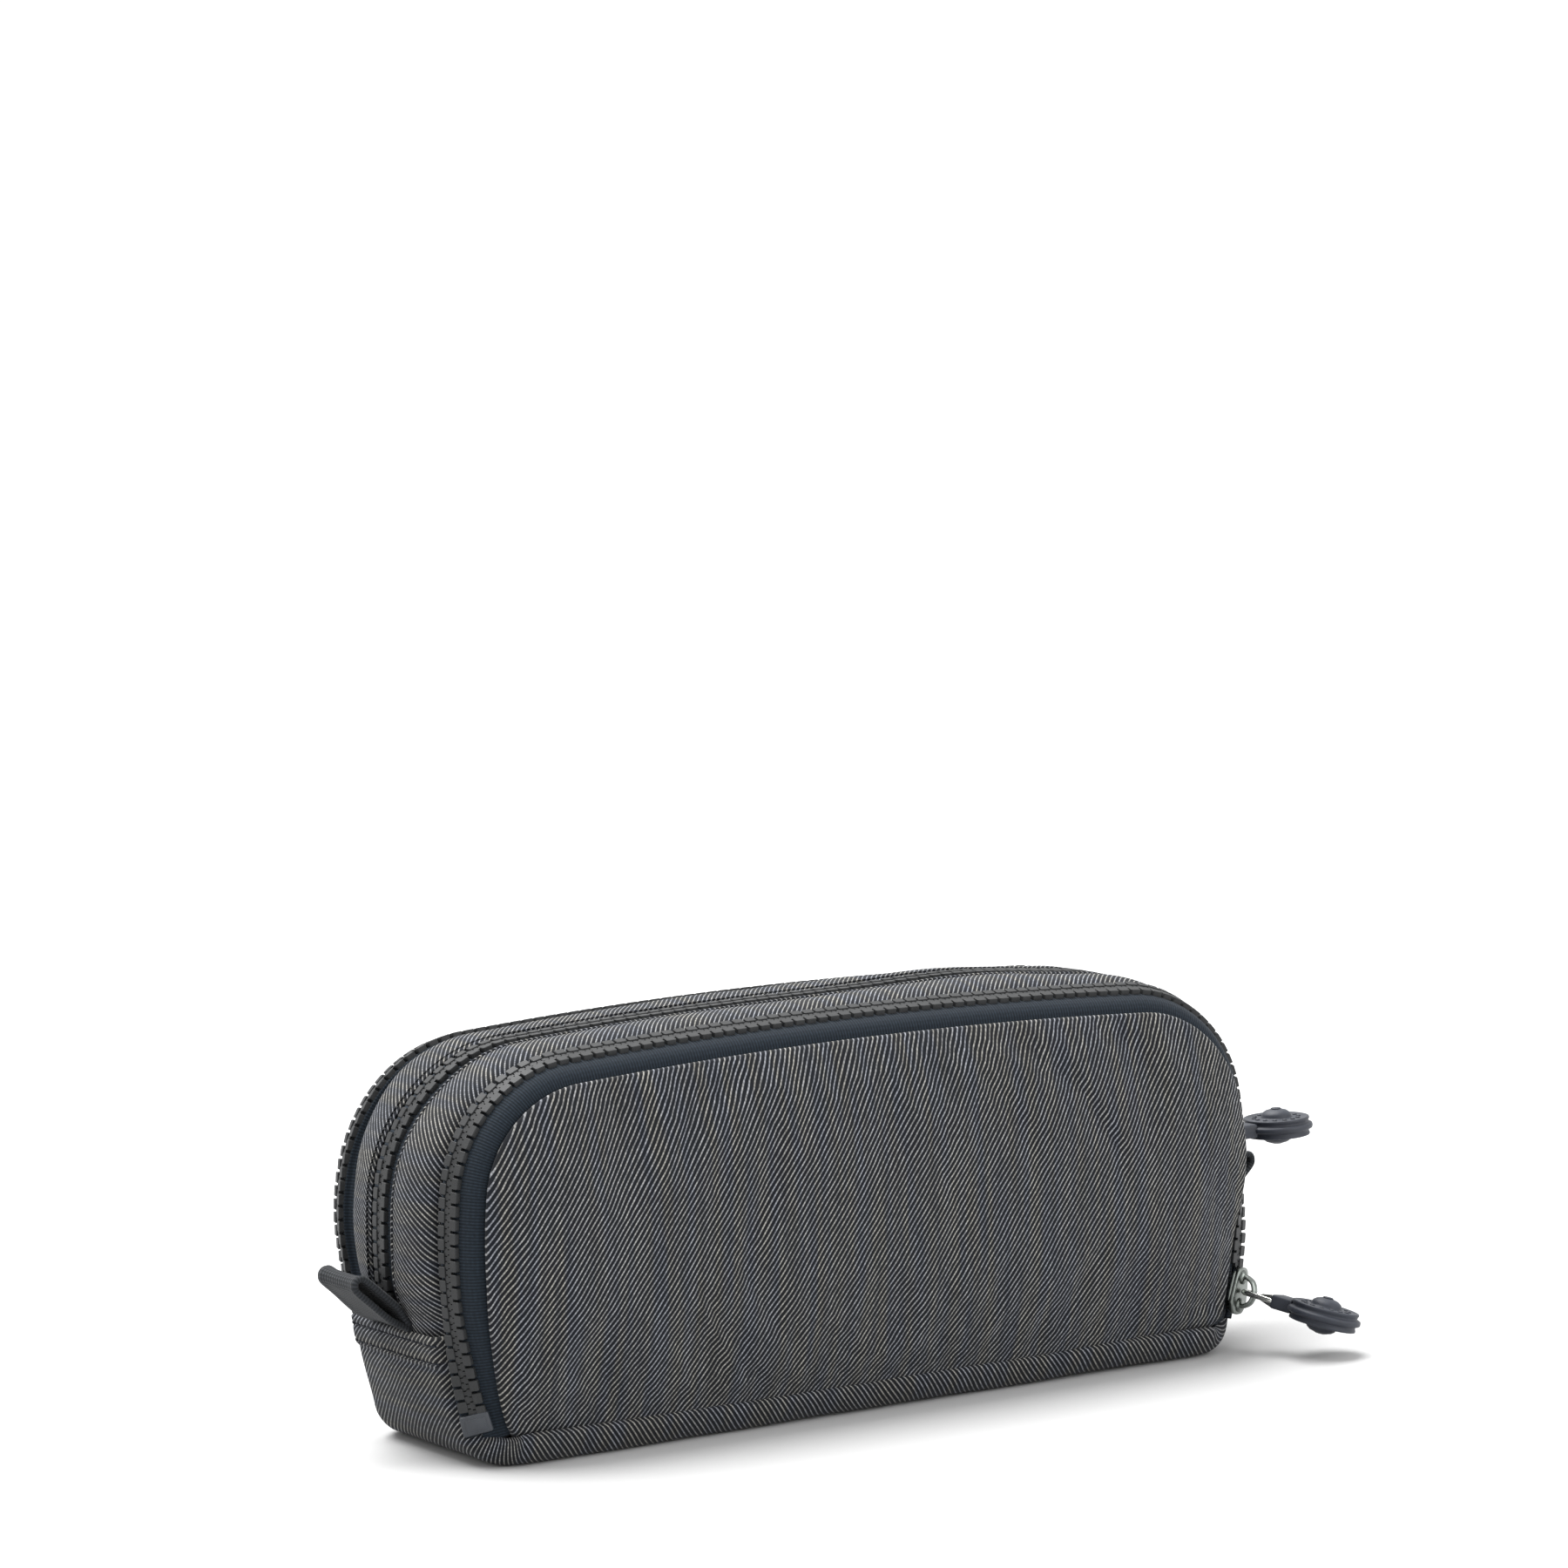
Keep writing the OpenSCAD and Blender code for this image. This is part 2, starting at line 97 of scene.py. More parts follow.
def spline(points: Sequence[tuple[float, float]], count: int) -> np.ndarray:
    """A smooth plane curve through a few points.

    Args:
        points: The points that it passes through.
        count: How many samples to return.

    Returns:
        An array of count rows, evenly spread over the points' indices.
    """
    p = np.asarray(points, float)
    p = np.vstack([2 * p[0] - p[1], p, 2 * p[-1] - p[-2]])
    t = np.linspace(0, len(p) - 3, count)
    i = np.minimum(t.astype(int), len(p) - 4)
    f = (t - i)[:, None]
    a, b, c, d = p[i], p[i + 1], p[i + 2], p[i + 3]
    return 0.5 * (2 * b + (c - a) * f + (2 * a - 5 * b + 4 * c - d) * f**2 + (3 * b - a - 3 * c + d) * f**3)


def waver(grid: np.ndarray, size: float, seed: float) -> np.ndarray:
    """Smooth noise from -1 to 1 at each point of an array of points.

    Args:
        grid: Points in metres, with X, Y and Z on the last axis.
        size: Wavelength in millimetres.
        seed: Shift of the noise, fixed for each piece.

    Returns:
        The noise, shaped as the array without its last axis.
    """
    flat = grid.reshape(-1, 3) / (size * MM)
    shift = Vector((seed, 2 * seed, 3 * seed))
    return np.array([noise.noise(Vector(p) + shift) for p in flat]).reshape(grid.shape[:-1])


def unit(v: np.ndarray) -> np.ndarray:
    """Vectors of length 1, along the last axis."""
    return v / np.maximum(np.linalg.norm(v, axis=-1, keepdims=True), 1e-12)


# ---- Mesh helpers ----


def new_object(
    name: str, verts: np.ndarray, faces: Sequence[Sequence[int]], uv: Optional[np.ndarray] = None,
) -> bpy.types.Object:
    """A smooth-shaded mesh object with an optional UV per point.

    Args:
        name: The piece's name.
        verts: Points in metres.
        faces: Point indices of each face.
        uv: One UV in metres for each point.

    Returns:
        The object, linked to the scene, with its closed shells turned outwards.
    """
    mesh = bpy.data.meshes.new(name)
    mesh.from_pydata([tuple(v) for v in verts], [], [tuple(f) for f in faces])
    if uv is not None:
        layer = mesh.uv_layers.new(name="cloth")
        index = np.zeros(len(mesh.loops), int)
        mesh.loops.foreach_get("vertex_index", index)
        layer.data.foreach_set("uv", uv[index].astype(np.float32).ravel())
    bm = bmesh.new()
    bm.from_mesh(mesh)
    bmesh.ops.recalc_face_normals(bm, faces=bm.faces)
    bm.to_mesh(mesh)
    bm.free()
    mesh.shade_smooth()
    obj = bpy.data.objects.new(name, mesh)
    bpy.context.scene.collection.objects.link(obj)
    return obj


def cloth_shell(name: str, grid: np.ndarray, thick: float, uv: np.ndarray, core: Vector) -> bpy.types.Object:
    """A closed cloth piece from its outer surface, with rounded edges all round.

    Args:
        name: The piece's name.
        grid: Outer surface as rows and columns of points, in metres.
        thick: Thickness in millimetres, added on the side that faces the core.
        uv: Cloth coordinates of the grid, in metres.
        core: A point that the inner side faces.

    Returns:
        The finished mesh object.
    """
    rows, cols = grid.shape[:2]
    normal = unit(np.cross(np.gradient(grid, axis=0), np.gradient(grid, axis=1)))
    if ((grid - np.array(core)) * normal).sum() < 0:
        normal = -normal
    inner = grid - normal * thick * MM
    ring = [(i, 0) for i in range(rows)]
    ring += [(rows - 1, j) for j in range(1, cols)]
    ring += [(i, cols - 1) for i in range(rows - 2, -1, -1)]
    ring += [(0, j) for j in range(cols - 2, 0, -1)]
    out = np.zeros_like(grid)
    out[0] += unit(grid[0] - grid[1])
    out[-1] += unit(grid[-1] - grid[-2])
    out[:, 0] += unit(grid[:, 0] - grid[:, 1])
    out[:, -1] += unit(grid[:, -1] - grid[:, -2])
    at = tuple(np.array(ring).T)
    bulge = 0.4
    middle = (grid[at] + inner[at]) / 2 + unit(out[at]) * thick * bulge * MM
    index = np.arange(rows * cols).reshape(rows, cols)
    a, b, c, d = index[:-1, :-1], index[1:, :-1], index[1:, 1:], index[:-1, 1:]
    top = np.stack([a, b, c, d], -1).reshape(-1, 4)
    under = top[:, ::-1] + rows * cols
    rim = index[at]
    mid = 2 * rows * cols + np.arange(len(ring))
    turn = np.roll(np.arange(len(ring)), -1)
    walls = np.vstack([
        np.stack([rim[turn], rim, mid, mid[turn]], -1),
        np.stack([mid[turn], mid, rim + rows * cols, rim[turn] + rows * cols], -1),
    ])
    verts = np.vstack([grid.reshape(-1, 3), inner.reshape(-1, 3), middle])
    flat = uv.reshape(-1, 2)
    coords = np.vstack([flat, flat, uv[at]])
    return new_object(name, verts, np.vstack([top, under, walls]).tolist(), coords)


def bake(obj: bpy.types.Object) -> bpy.types.Object:
    """Turns an object's evaluated modifiers into its own plain mesh.

    Args:
        obj: An object with live modifiers.

    Returns:
        The same object, with no modifier left.
    """
    bpy.context.view_layer.update()
    graph = bpy.context.evaluated_depsgraph_get()
    mesh = bpy.data.meshes.new_from_object(obj.evaluated_get(graph), depsgraph=graph)
    obj.modifiers.clear()
    obj.data = mesh
    return obj


def bevelled(obj: bpy.types.Object, width: float, segments: int = 2) -> bpy.types.Object:
    """Rounds an object's sharp edges.

    Args:
        obj: The object.
        width: Width of the bevel in millimetres.
        segments: Faces across the bevel.

    Returns:
        The same object with the bevel in its mesh.
    """
    mod = obj.modifiers.new("edge_round", "BEVEL")
    mod.width = width * MM
    mod.segments = segments
    mod.limit_method = "ANGLE"
    mod.angle_limit = math.radians(32)
    return bake(obj)


def prism(name: str, outline: Sequence[tuple[float, float]], low: float, high: float) -> bpy.types.Object:
    """A solid with a plane outline in its own X and Y, in millimetres.

    Args:
        name: The object's name.
        outline: Corners of the outline.
        low: Height of its underside.
        high: Height of its top.

    Returns:
        The object, in metres.
    """
    n = len(outline)
    verts = [(x * MM, y * MM, z * MM) for z in (low, high) for x, y in outline]
    faces = [list(range(n))[::-1], list(range(n, 2 * n))]
    faces += [[i, (i + 1) % n, n + (i + 1) % n, n + i] for i in range(n)]
    return new_object(name, np.array(verts), faces)


def lathe(name: str, profile: Sequence[tuple[float, float]], steps: int) -> bpy.types.Object:
    """A turned solid about Z from a profile that starts and ends on the axis.

    Args:
        name: The object's name.
        profile: Radius and height of each point, in millimetres.
        steps: Faces around the axis.

    Returns:
        The object, in metres.
    """
    middle = profile[1:-1]
    verts = [(0, 0, profile[0][1] * MM), (0, 0, profile[-1][1] * MM)]
    for k in range(steps):
        c, s = math.cos(TAU * k / steps), math.sin(TAU * k / steps)
        verts += [(r * c * MM, r * s * MM, z * MM) for r, z in middle]
    n = len(middle)
    faces = []
    for k in range(steps):
        a, b = 2 + k * n, 2 + (k + 1) % steps * n
        faces.append([0, a, b])
        faces += [[a + j, a + j + 1, b + j + 1, b + j] for j in range(n - 1)]
        faces.append([a + n - 1, 1, b + n - 1])
    return new_object(name, np.array(verts), faces)


def tube(
    name: str, path: np.ndarray, radius: float, sides: int = 14, closed: bool = False, flat: float = 1.0,
    up: Vector = Vector((0, 1, 0)),
) -> bpy.types.Object:
    """A rod of oval section along a path.

    Args:
        name: The object's name.
        path: Points in millimetres.
        radius: Half width of the rod across the up direction, in millimetres.
        sides: Faces round the rod.
        closed: Whether the path's ends join.
        flat: Half width along up, as a share of the radius.
        up: A direction that is never along the path.

    Returns:
        The object, in metres.
    """
    path = np.asarray(path, float)
    if closed:
        tangent = unit(np.roll(path, -1, 0) - np.roll(path, 1, 0))
    else:
        tangent = unit(np.gradient(path, axis=0))
    side = unit(np.cross(tangent, np.array(up)))
    lift = unit(np.cross(side, tangent))
    angles = np.arange(sides) * TAU / sides
    rings = path[:, None] + radius * (
        np.cos(angles)[None, :, None] * side[:, None] + flat * np.sin(angles)[None, :, None] * lift[:, None]
    )
    count = len(path)
    verts = rings.reshape(-1, 3) * MM
    last = count if closed else count - 1
    faces = []
    for i in range(last):
        for j in range(sides):
            k = (j + 1) % sides
            m = (i + 1) % count
            faces.append([i * sides + j, i * sides + k, m * sides + k, m * sides + j])
    if not closed:
        faces.append(list(range(sides)))
        faces.append([(count - 1) * sides + j for j in range(sides)])
    return new_object(name, verts, faces)


def placed(obj: bpy.types.Object, matrix: Matrix) -> bpy.types.Object:
    """Moves an object's mesh into place, and turns its faces outwards if that mirrors it.

    Args:
        obj: The object, whose own transform stays at rest.
        matrix: Where it goes, in metres.

    Returns:
        The same object.
    """
    obj.data.transform(matrix)
    if matrix.determinant() < 0:
        obj.data.flip_normals()
    return obj


def joined(name: str, parts: Sequence[bpy.types.Object]) -> bpy.types.Object:
    """Several mesh objects as one piece.

    Args:
        name: The piece's name.
        parts: The objects, which are all removed once joined.

    Returns:
        The joined object.
    """
    bm = bmesh.new()
    for part in parts:
        bm.from_mesh(part.data)
    mesh = bpy.data.meshes.new(name)
    bm.to_mesh(mesh)
    bm.free()
    mesh.shade_smooth()
    for part in parts:
        bpy.data.objects.remove(part)
    obj = bpy.data.objects.new(name, mesh)
    bpy.context.scene.collection.objects.link(obj)
    return obj


def dress(obj: bpy.types.Object, material: bpy.types.Material) -> bpy.types.Object:
    """Gives an object one material."""
    obj.data.materials.clear()
    obj.data.materials.append(material)
    return obj


# ---- Finishes ----


def linear(hex_colour: str) -> tuple[float, float, float, float]:
    """Linear colour of an sRGB hex value such as #8a8f8a."""
    parts = [int(hex_colour[i : i + 2], 16) / 255 for i in (1, 3, 5)]
    return tuple(c / 12.92 if c <= 0.04045 else ((c + 0.055) / 1.055) ** 2.4 for c in parts) + (1.0,)


def add(
    tree: bpy.types.NodeTree, kind: str, values: Optional[dict] = None, links: Optional[dict] = None,
    **settings: object,
) -> bpy.types.Node:
    """Adds one node with its settings, values and links.

    Args:
        tree: The node tree.
        kind: The node's type name.
        values: Value of each unlinked socket, by name or index.
        links: Output socket that feeds each input, by name or index.
        **settings: Properties of the node itself.

    Returns:
        The node.
    """
    node = tree.nodes.new(kind)
    for key, value in settings.items():
        setattr(node, key, value)
    for key, value in (values or {}).items():
        node.inputs[key].default_value = value
    for key, source in (links or {}).items():
        tree.links.new(source, node.inputs[key])
    return node


@dataclass(frozen=True)
class Finish:
    """What every finish shares: the shader's own constants."""

    name: str
    roughness: float = 0.5
    metallic: float = 0.0
    specular: float = 0.5
    sheen: float = 0.0

    def start(self) -> tuple[bpy.types.Material, bpy.types.NodeTree, bpy.types.Node]:
        """A new material, its tree and its shader with the constants set."""
        material = bpy.data.materials.new(self.name)
        material.use_nodes = True
        tree = material.node_tree
        shader = tree.nodes["Principled BSDF"]
        shader.inputs["Roughness"].default_value = self.roughness
        shader.inputs["Metallic"].default_value = self.metallic
        shader.inputs["Specular IOR Level"].default_value = self.specular
        shader.inputs["Sheen Weight"].default_value = self.sheen
        return material, tree, shader

    def bump(
        self, tree: bpy.types.NodeTree, shader: bpy.types.Node, height: bpy.types.NodeSocket, depth: float,
    ) -> None:
        """Feeds a height pattern to the shader's normal.

        Args:
            tree: The material's tree.
            shader: Its shader.
            height: Socket that gives the height from 0 to 1.
            depth: Depth of the pattern in millimetres.
        """
        node = add(tree, "ShaderNodeBump", {"Strength": 1.0, "Distance": depth * MM}, {"Height": height})
        tree.links.new(node.outputs["Normal"], shader.inputs["Normal"])


def wave(tree: bpy.types.NodeTree, source: bpy.types.NodeSocket, pitch: float) -> bpy.types.NodeSocket:
    """A cosine from -1 to 1 of a length in millimetres.

    Args:
        tree: The material's tree.
        source: Socket that gives the length.
        pitch: Wavelength in millimetres.

    Returns:
        The wave's socket.
    """
    turn = add(tree, "ShaderNodeMath", {1: TAU / pitch}, {0: source}, operation="MULTIPLY")
    return add(tree, "ShaderNodeMath", links={0: turn.outputs[0]}, operation="COSINE").outputs[0]


def cloth_mm(tree: bpy.types.NodeTree) -> bpy.types.NodeSocket:
    """A piece's cloth coordinates in millimetres."""
    uv = add(tree, "ShaderNodeUVMap", uv_map="cloth")
    return add(
        tree, "ShaderNodeVectorMath", {"Scale": 1 / MM}, {0: uv.outputs[0]}, operation="SCALE",
    ).outputs[0]


def blotch(
    tree: bpy.types.NodeTree, source: bpy.types.NodeSocket, size: tuple[float, float, float],
    detail: float = 2.0,
) -> bpy.types.NodeSocket:
    """Noise from 0 to 1 with its own size along each axis.

    Args:
        tree: The material's tree.
        source: Coordinates in millimetres.
        size: Size of the noise along each axis, in millimetres.
        detail: Octaves of finer noise.

    Returns:
        The noise's socket.
    """
    scaled = add(
        tree, "ShaderNodeVectorMath", {1: tuple(1 / s for s in size)}, {0: source}, operation="MULTIPLY",
    )
    return add(
        tree, "ShaderNodeTexNoise", {"Scale": 1.0, "Detail": detail}, {"Vector": scaled.outputs[0]},
    ).outputs["Fac"]


def span(
    tree: bpy.types.NodeTree, source: bpy.types.NodeSocket, low: float, high: float, to_low: float,
    to_high: float, soft: bool = False,
) -> bpy.types.NodeSocket:
    """A value moved from one range to another.

    Args:
        tree: The material's tree.
        source: Socket that gives the value.
        low: Value that becomes to_low.
        high: Value that becomes to_high.
        to_low: Start of the new range.
        to_high: End of the new range.
        soft: Whether the change eases in and out.

    Returns:
        The new value's socket.
    """
    kind = "SMOOTHSTEP" if soft else "LINEAR"
    values = {"From Min": low, "From Max": high, "To Min": to_low, "To Max": to_high}
    return add(
        tree, "ShaderNodeMapRange", values, {"Value": source}, interpolation_type=kind,
    ).outputs["Result"]


def times(tree: bpy.types.NodeTree, *sources: bpy.types.NodeSocket) -> bpy.types.NodeSocket:
    """Product of two or more values."""
    result = sources[0]
    for source in sources[1:]:
        result = add(tree, "ShaderNodeMath", links={0: result, 1: source}, operation="MULTIPLY").outputs[0]
    return result


def blend_colour(
    tree: bpy.types.NodeTree, factor: bpy.types.NodeSocket, low: object, high: object,
) -> bpy.types.NodeSocket:
    """Mixes two colours, each of which is a hex value or a socket."""
    node = add(tree, "ShaderNodeMix", links={"Factor": factor}, data_type="RGBA")
    for socket, colour in ((node.inputs[6], low), (node.inputs[7], high)):
        if isinstance(colour, str):
            socket.default_value = linear(colour)
        else:
            tree.links.new(colour, socket)
    return node.outputs[2]


@dataclass(frozen=True)
class TwillDenim(Finish):
    """Yarn-dyed cotton twill: pale floats in steep diagonal lines on dark indigo.

    The lines read as a pinstripe that leans right, and uneven yarns give the soft
    upright bluish and cream streaks.
    """

    name: str = "yarn_dyed_denim_twill"
    roughness: float = 0.9
    specular: float = 0.15
    sheen: float = 0.04
    line_pitch: float = 1.05
    float_pitch: float = 0.72
    lean: float = 54.0
    depth: float = 0.16
    dark: str = "#12151b"
    dark_warm: str = "#161719"
    pale: str = "#9a9da4"
    pale_warm: str = "#a3a19b"

    def material(self) -> bpy.types.Material:
        """The twill, drawn from the cloth coordinates."""
        material, tree, shader = self.start()
        mm = cloth_mm(tree)
        drift = add(tree, "ShaderNodeTexNoise", {"Scale": 1 / 16, "Detail": 1.0}, {"Vector": mm})
        centred = add(
            tree, "ShaderNodeVectorMath", {1: (0.5, 0.5, 0.5)}, {0: drift.outputs["Color"]},
            operation="SUBTRACT",
        )
        pushed = add(
            tree, "ShaderNodeVectorMath", {1: (1.1, 1.1, 0.0), }, {0: centred.outputs[0], 2: mm},
            operation="MULTIPLY_ADD",
        )
        turned = add(
            tree, "ShaderNodeVectorRotate", {"Angle": -math.radians(self.lean)},
            {"Vector": pushed.outputs[0]}, rotation_type="Z_AXIS",
        )
        parts = add(tree, "ShaderNodeSeparateXYZ", links={0: turned.outputs[0]})
        along, across = parts.outputs[0], parts.outputs[1]
        line = span(tree, wave(tree, across, self.line_pitch), 0.2, 1.0, 0.0, 1.0, True)
        pip = span(tree, wave(tree, along, self.float_pitch), -1.0, 1.0, 0.62, 1.0)
        cell = []
        for source, pitch in ((along, self.float_pitch), (across, self.line_pitch)):
            scaled = add(tree, "ShaderNodeMath", {1: 1 / pitch}, {0: source}, operation="MULTIPLY")
            cell.append(
                add(tree, "ShaderNodeMath", links={0: scaled.outputs[0]}, operation="ROUND").outputs[0]
            )
        seat = add(tree, "ShaderNodeCombineXYZ", links={0: cell[0], 1: cell[1]})
        lot = add(tree, "ShaderNodeTexWhiteNoise", links={"Vector": seat.outputs[0]}, noise_dimensions="2D")
        uneven = span(tree, lot.outputs["Value"], 0.0, 1.0, 0.55, 1.0)
        slub = span(tree, blotch(tree, mm, (1.6, 34.0, 1.0), 3.0), 0.3, 0.7, 0.66, 1.08)
        show = times(tree, line, pip, uneven, slub)
        tint = span(tree, blotch(tree, mm, (3.2, 60.0, 1.0), 2.0), 0.38, 0.62, 0.0, 1.0)
        ground = blend_colour(tree, tint, self.dark, self.dark_warm)
        floats = blend_colour(tree, tint, self.pale, self.pale_warm)
        tree.links.new(blend_colour(tree, show, ground, floats), shader.inputs["Base Color"])
        self.bump(tree, shader, times(tree, line, pip), self.depth)
        return material


@dataclass(frozen=True)
class RibbedCloth(Finish):
    """A narrow woven cloth with ribs one way and picks the other way.

    Zip tape, webbing and lining differ in the size and depth of their ribs.
    """

    along_pitch: float = 0.6
    across_pitch: float = 0.9
    across_show: float = 0.65
    depth: float = 0.1
    low: str = "#1d262e"
    high: str = "#36434f"

    def material(self) -> bpy.types.Material:
        """The ribs, drawn from the cloth coordinates."""
        material, tree, shader = self.start()
        mm = cloth_mm(tree)
        parts = add(tree, "ShaderNodeSeparateXYZ", links={0: mm})
        along = span(tree, wave(tree, parts.outputs[0], self.along_pitch), -1.0, 1.0, 0.25, 1.0)
        across = span(
            tree, wave(tree, parts.outputs[1], self.across_pitch), -1.0, 1.0, 1 - self.across_show, 1.0,
        )
        height = times(tree, along, across)
        fuzz = span(tree, blotch(tree, mm, (0.8, 0.8, 1.0), 3.0), 0.25, 0.75, 0.6, 1.2)
        tree.links.new(
            blend_colour(tree, times(tree, height, fuzz), self.low, self.high), shader.inputs["Base Color"],
        )
        self.bump(tree, shader, height, self.depth)
        return material


@dataclass(frozen=True)
class SolidFinish(Finish):
    """A moulded, cast or spun solid: one colour that varies a little, with a fine grain."""

    grain: float = 0.5
    patch: float = 8.0
    depth: float = 0.02
    low: str = "#44474a"
    high: str = "#54575a"

    def material(self) -> bpy.types.Material:
        """The finish, drawn from the object's own coordinates."""
        material, tree, shader = self.start()
        place = add(tree, "ShaderNodeTexCoord").outputs["Object"]
        mm = add(tree, "ShaderNodeVectorMath", {"Scale": 1 / MM}, {0: place}, operation="SCALE").outputs[0]
        fine = blotch(tree, mm, (self.grain,) * 3, 3.0)
        broad = blotch(tree, mm, (self.patch,) * 3, 2.0)
        mixed = add(
            tree, "ShaderNodeMath", {1: 0.5}, {0: fine, 2: broad}, operation="MULTIPLY_ADD",
        ).outputs[0]
        tone = span(tree, mixed, 0.5, 1.0, 0.0, 1.0)
        tree.links.new(blend_colour(tree, tone, self.low, self.high), shader.inputs["Base Color"])
        rough = span(tree, mixed, 0.5, 1.0, max(0.05, self.roughness - 0.06), self.roughness + 0.06)
        tree.links.new(rough, shader.inputs["Roughness"])
        self.bump(tree, shader, fine, self.depth)
        return material


class Finishes:
    """The case's materials, made once and shared by its pieces."""

    def __init__(self) -> None:
        """Makes every material."""
        self.denim = TwillDenim().material()
        # Knitted polyester zip tape: a dull navy with cross ribs, which are 0.55 mm apart
        # on the real tape and drawn a little coarser so that they show.
        self.tape = RibbedCloth(
            "knitted_polyester_zip_tape", 0.85, specular=0.15, sheen=0.03,
            along_pitch=0.74, across_pitch=1.1, across_show=0.2, depth=0.12, low="#090c10", high="#212a33",
        ).material()
        # Woven nylon webbing: ribs along its length with a slight sheen.
        self.webbing = RibbedCloth(
            "woven_nylon_webbing", 0.8, specular=0.2, sheen=0.05,
            along_pitch=0.8, across_pitch=1.15, depth=0.2, low="#101214", high="#2e3135",
        ).material()
        # Plain-weave polyester lining: dark and almost smooth.
        self.lining = RibbedCloth(
            "plain_weave_polyester_lining", 0.7, specular=0.3,
            along_pitch=0.5, across_pitch=0.5, depth=0.05, low="#14161a", high="#24272d",
        ).material()
        # Injection-moulded acetal teeth: a dull satin grey, with no hard highlight.
        self.teeth = SolidFinish(
            "moulded_acetal_teeth", 0.55, specular=0.3, grain=0.35, patch=4.0, depth=0.012,
            low="#1f2021", high="#2b2c2d",
        ).material()
        # Moulded acetal stops: slate, bluer than the teeth.
        self.stop = SolidFinish(
            "moulded_acetal_stops", 0.5, grain=0.35, patch=4.0, depth=0.012, low="#23262c", high="#2e3238",
        ).material()
        # Zinc die casting, barrel polished: a mid pewter with a soft shine.
        self.slider = SolidFinish(
            "polished_zinc_casting", 0.3, metallic=1.0, grain=0.6, patch=3.0, depth=0.02,
            low="#686d69", high="#878c88",
        ).material()
        # Nickel-plated steel wire: bright, with clean reflections.
        self.wire = SolidFinish(
            "nickel_plated_wire", 0.2, metallic=1.0, grain=0.4, patch=3.0, depth=0.006,
            low="#b9bbb6", high="#d2d3cf",
        ).material()
        # Soft moulded PVC: matt slate with a faint bloom.
        self.rubber = SolidFinish(
            "soft_moulded_pvc", 0.55, specular=0.35, sheen=0.03, grain=0.3, patch=5.0, depth=0.015,
            low="#1f222a", high="#2a2e37",
        ).material()
        # Spun polyester thread: navy, close to the tape.
        self.thread = SolidFinish(
            "spun_polyester_thread", 0.75, specular=0.3, grain=0.25, patch=3.0, depth=0.06,
            low="#0b0e14", high="#161b24",
        ).material()
        # Seamless studio paper: plain and pale, and lit until it reads as white.
        self.paper = SolidFinish(
            "seamless_studio_paper", 0.95, specular=0.0, grain=2.0, patch=300.0, depth=0.01,
            low="#bababa", high="#bdbdbd",
        ).material()


# ---- The arch that every zip follows ----


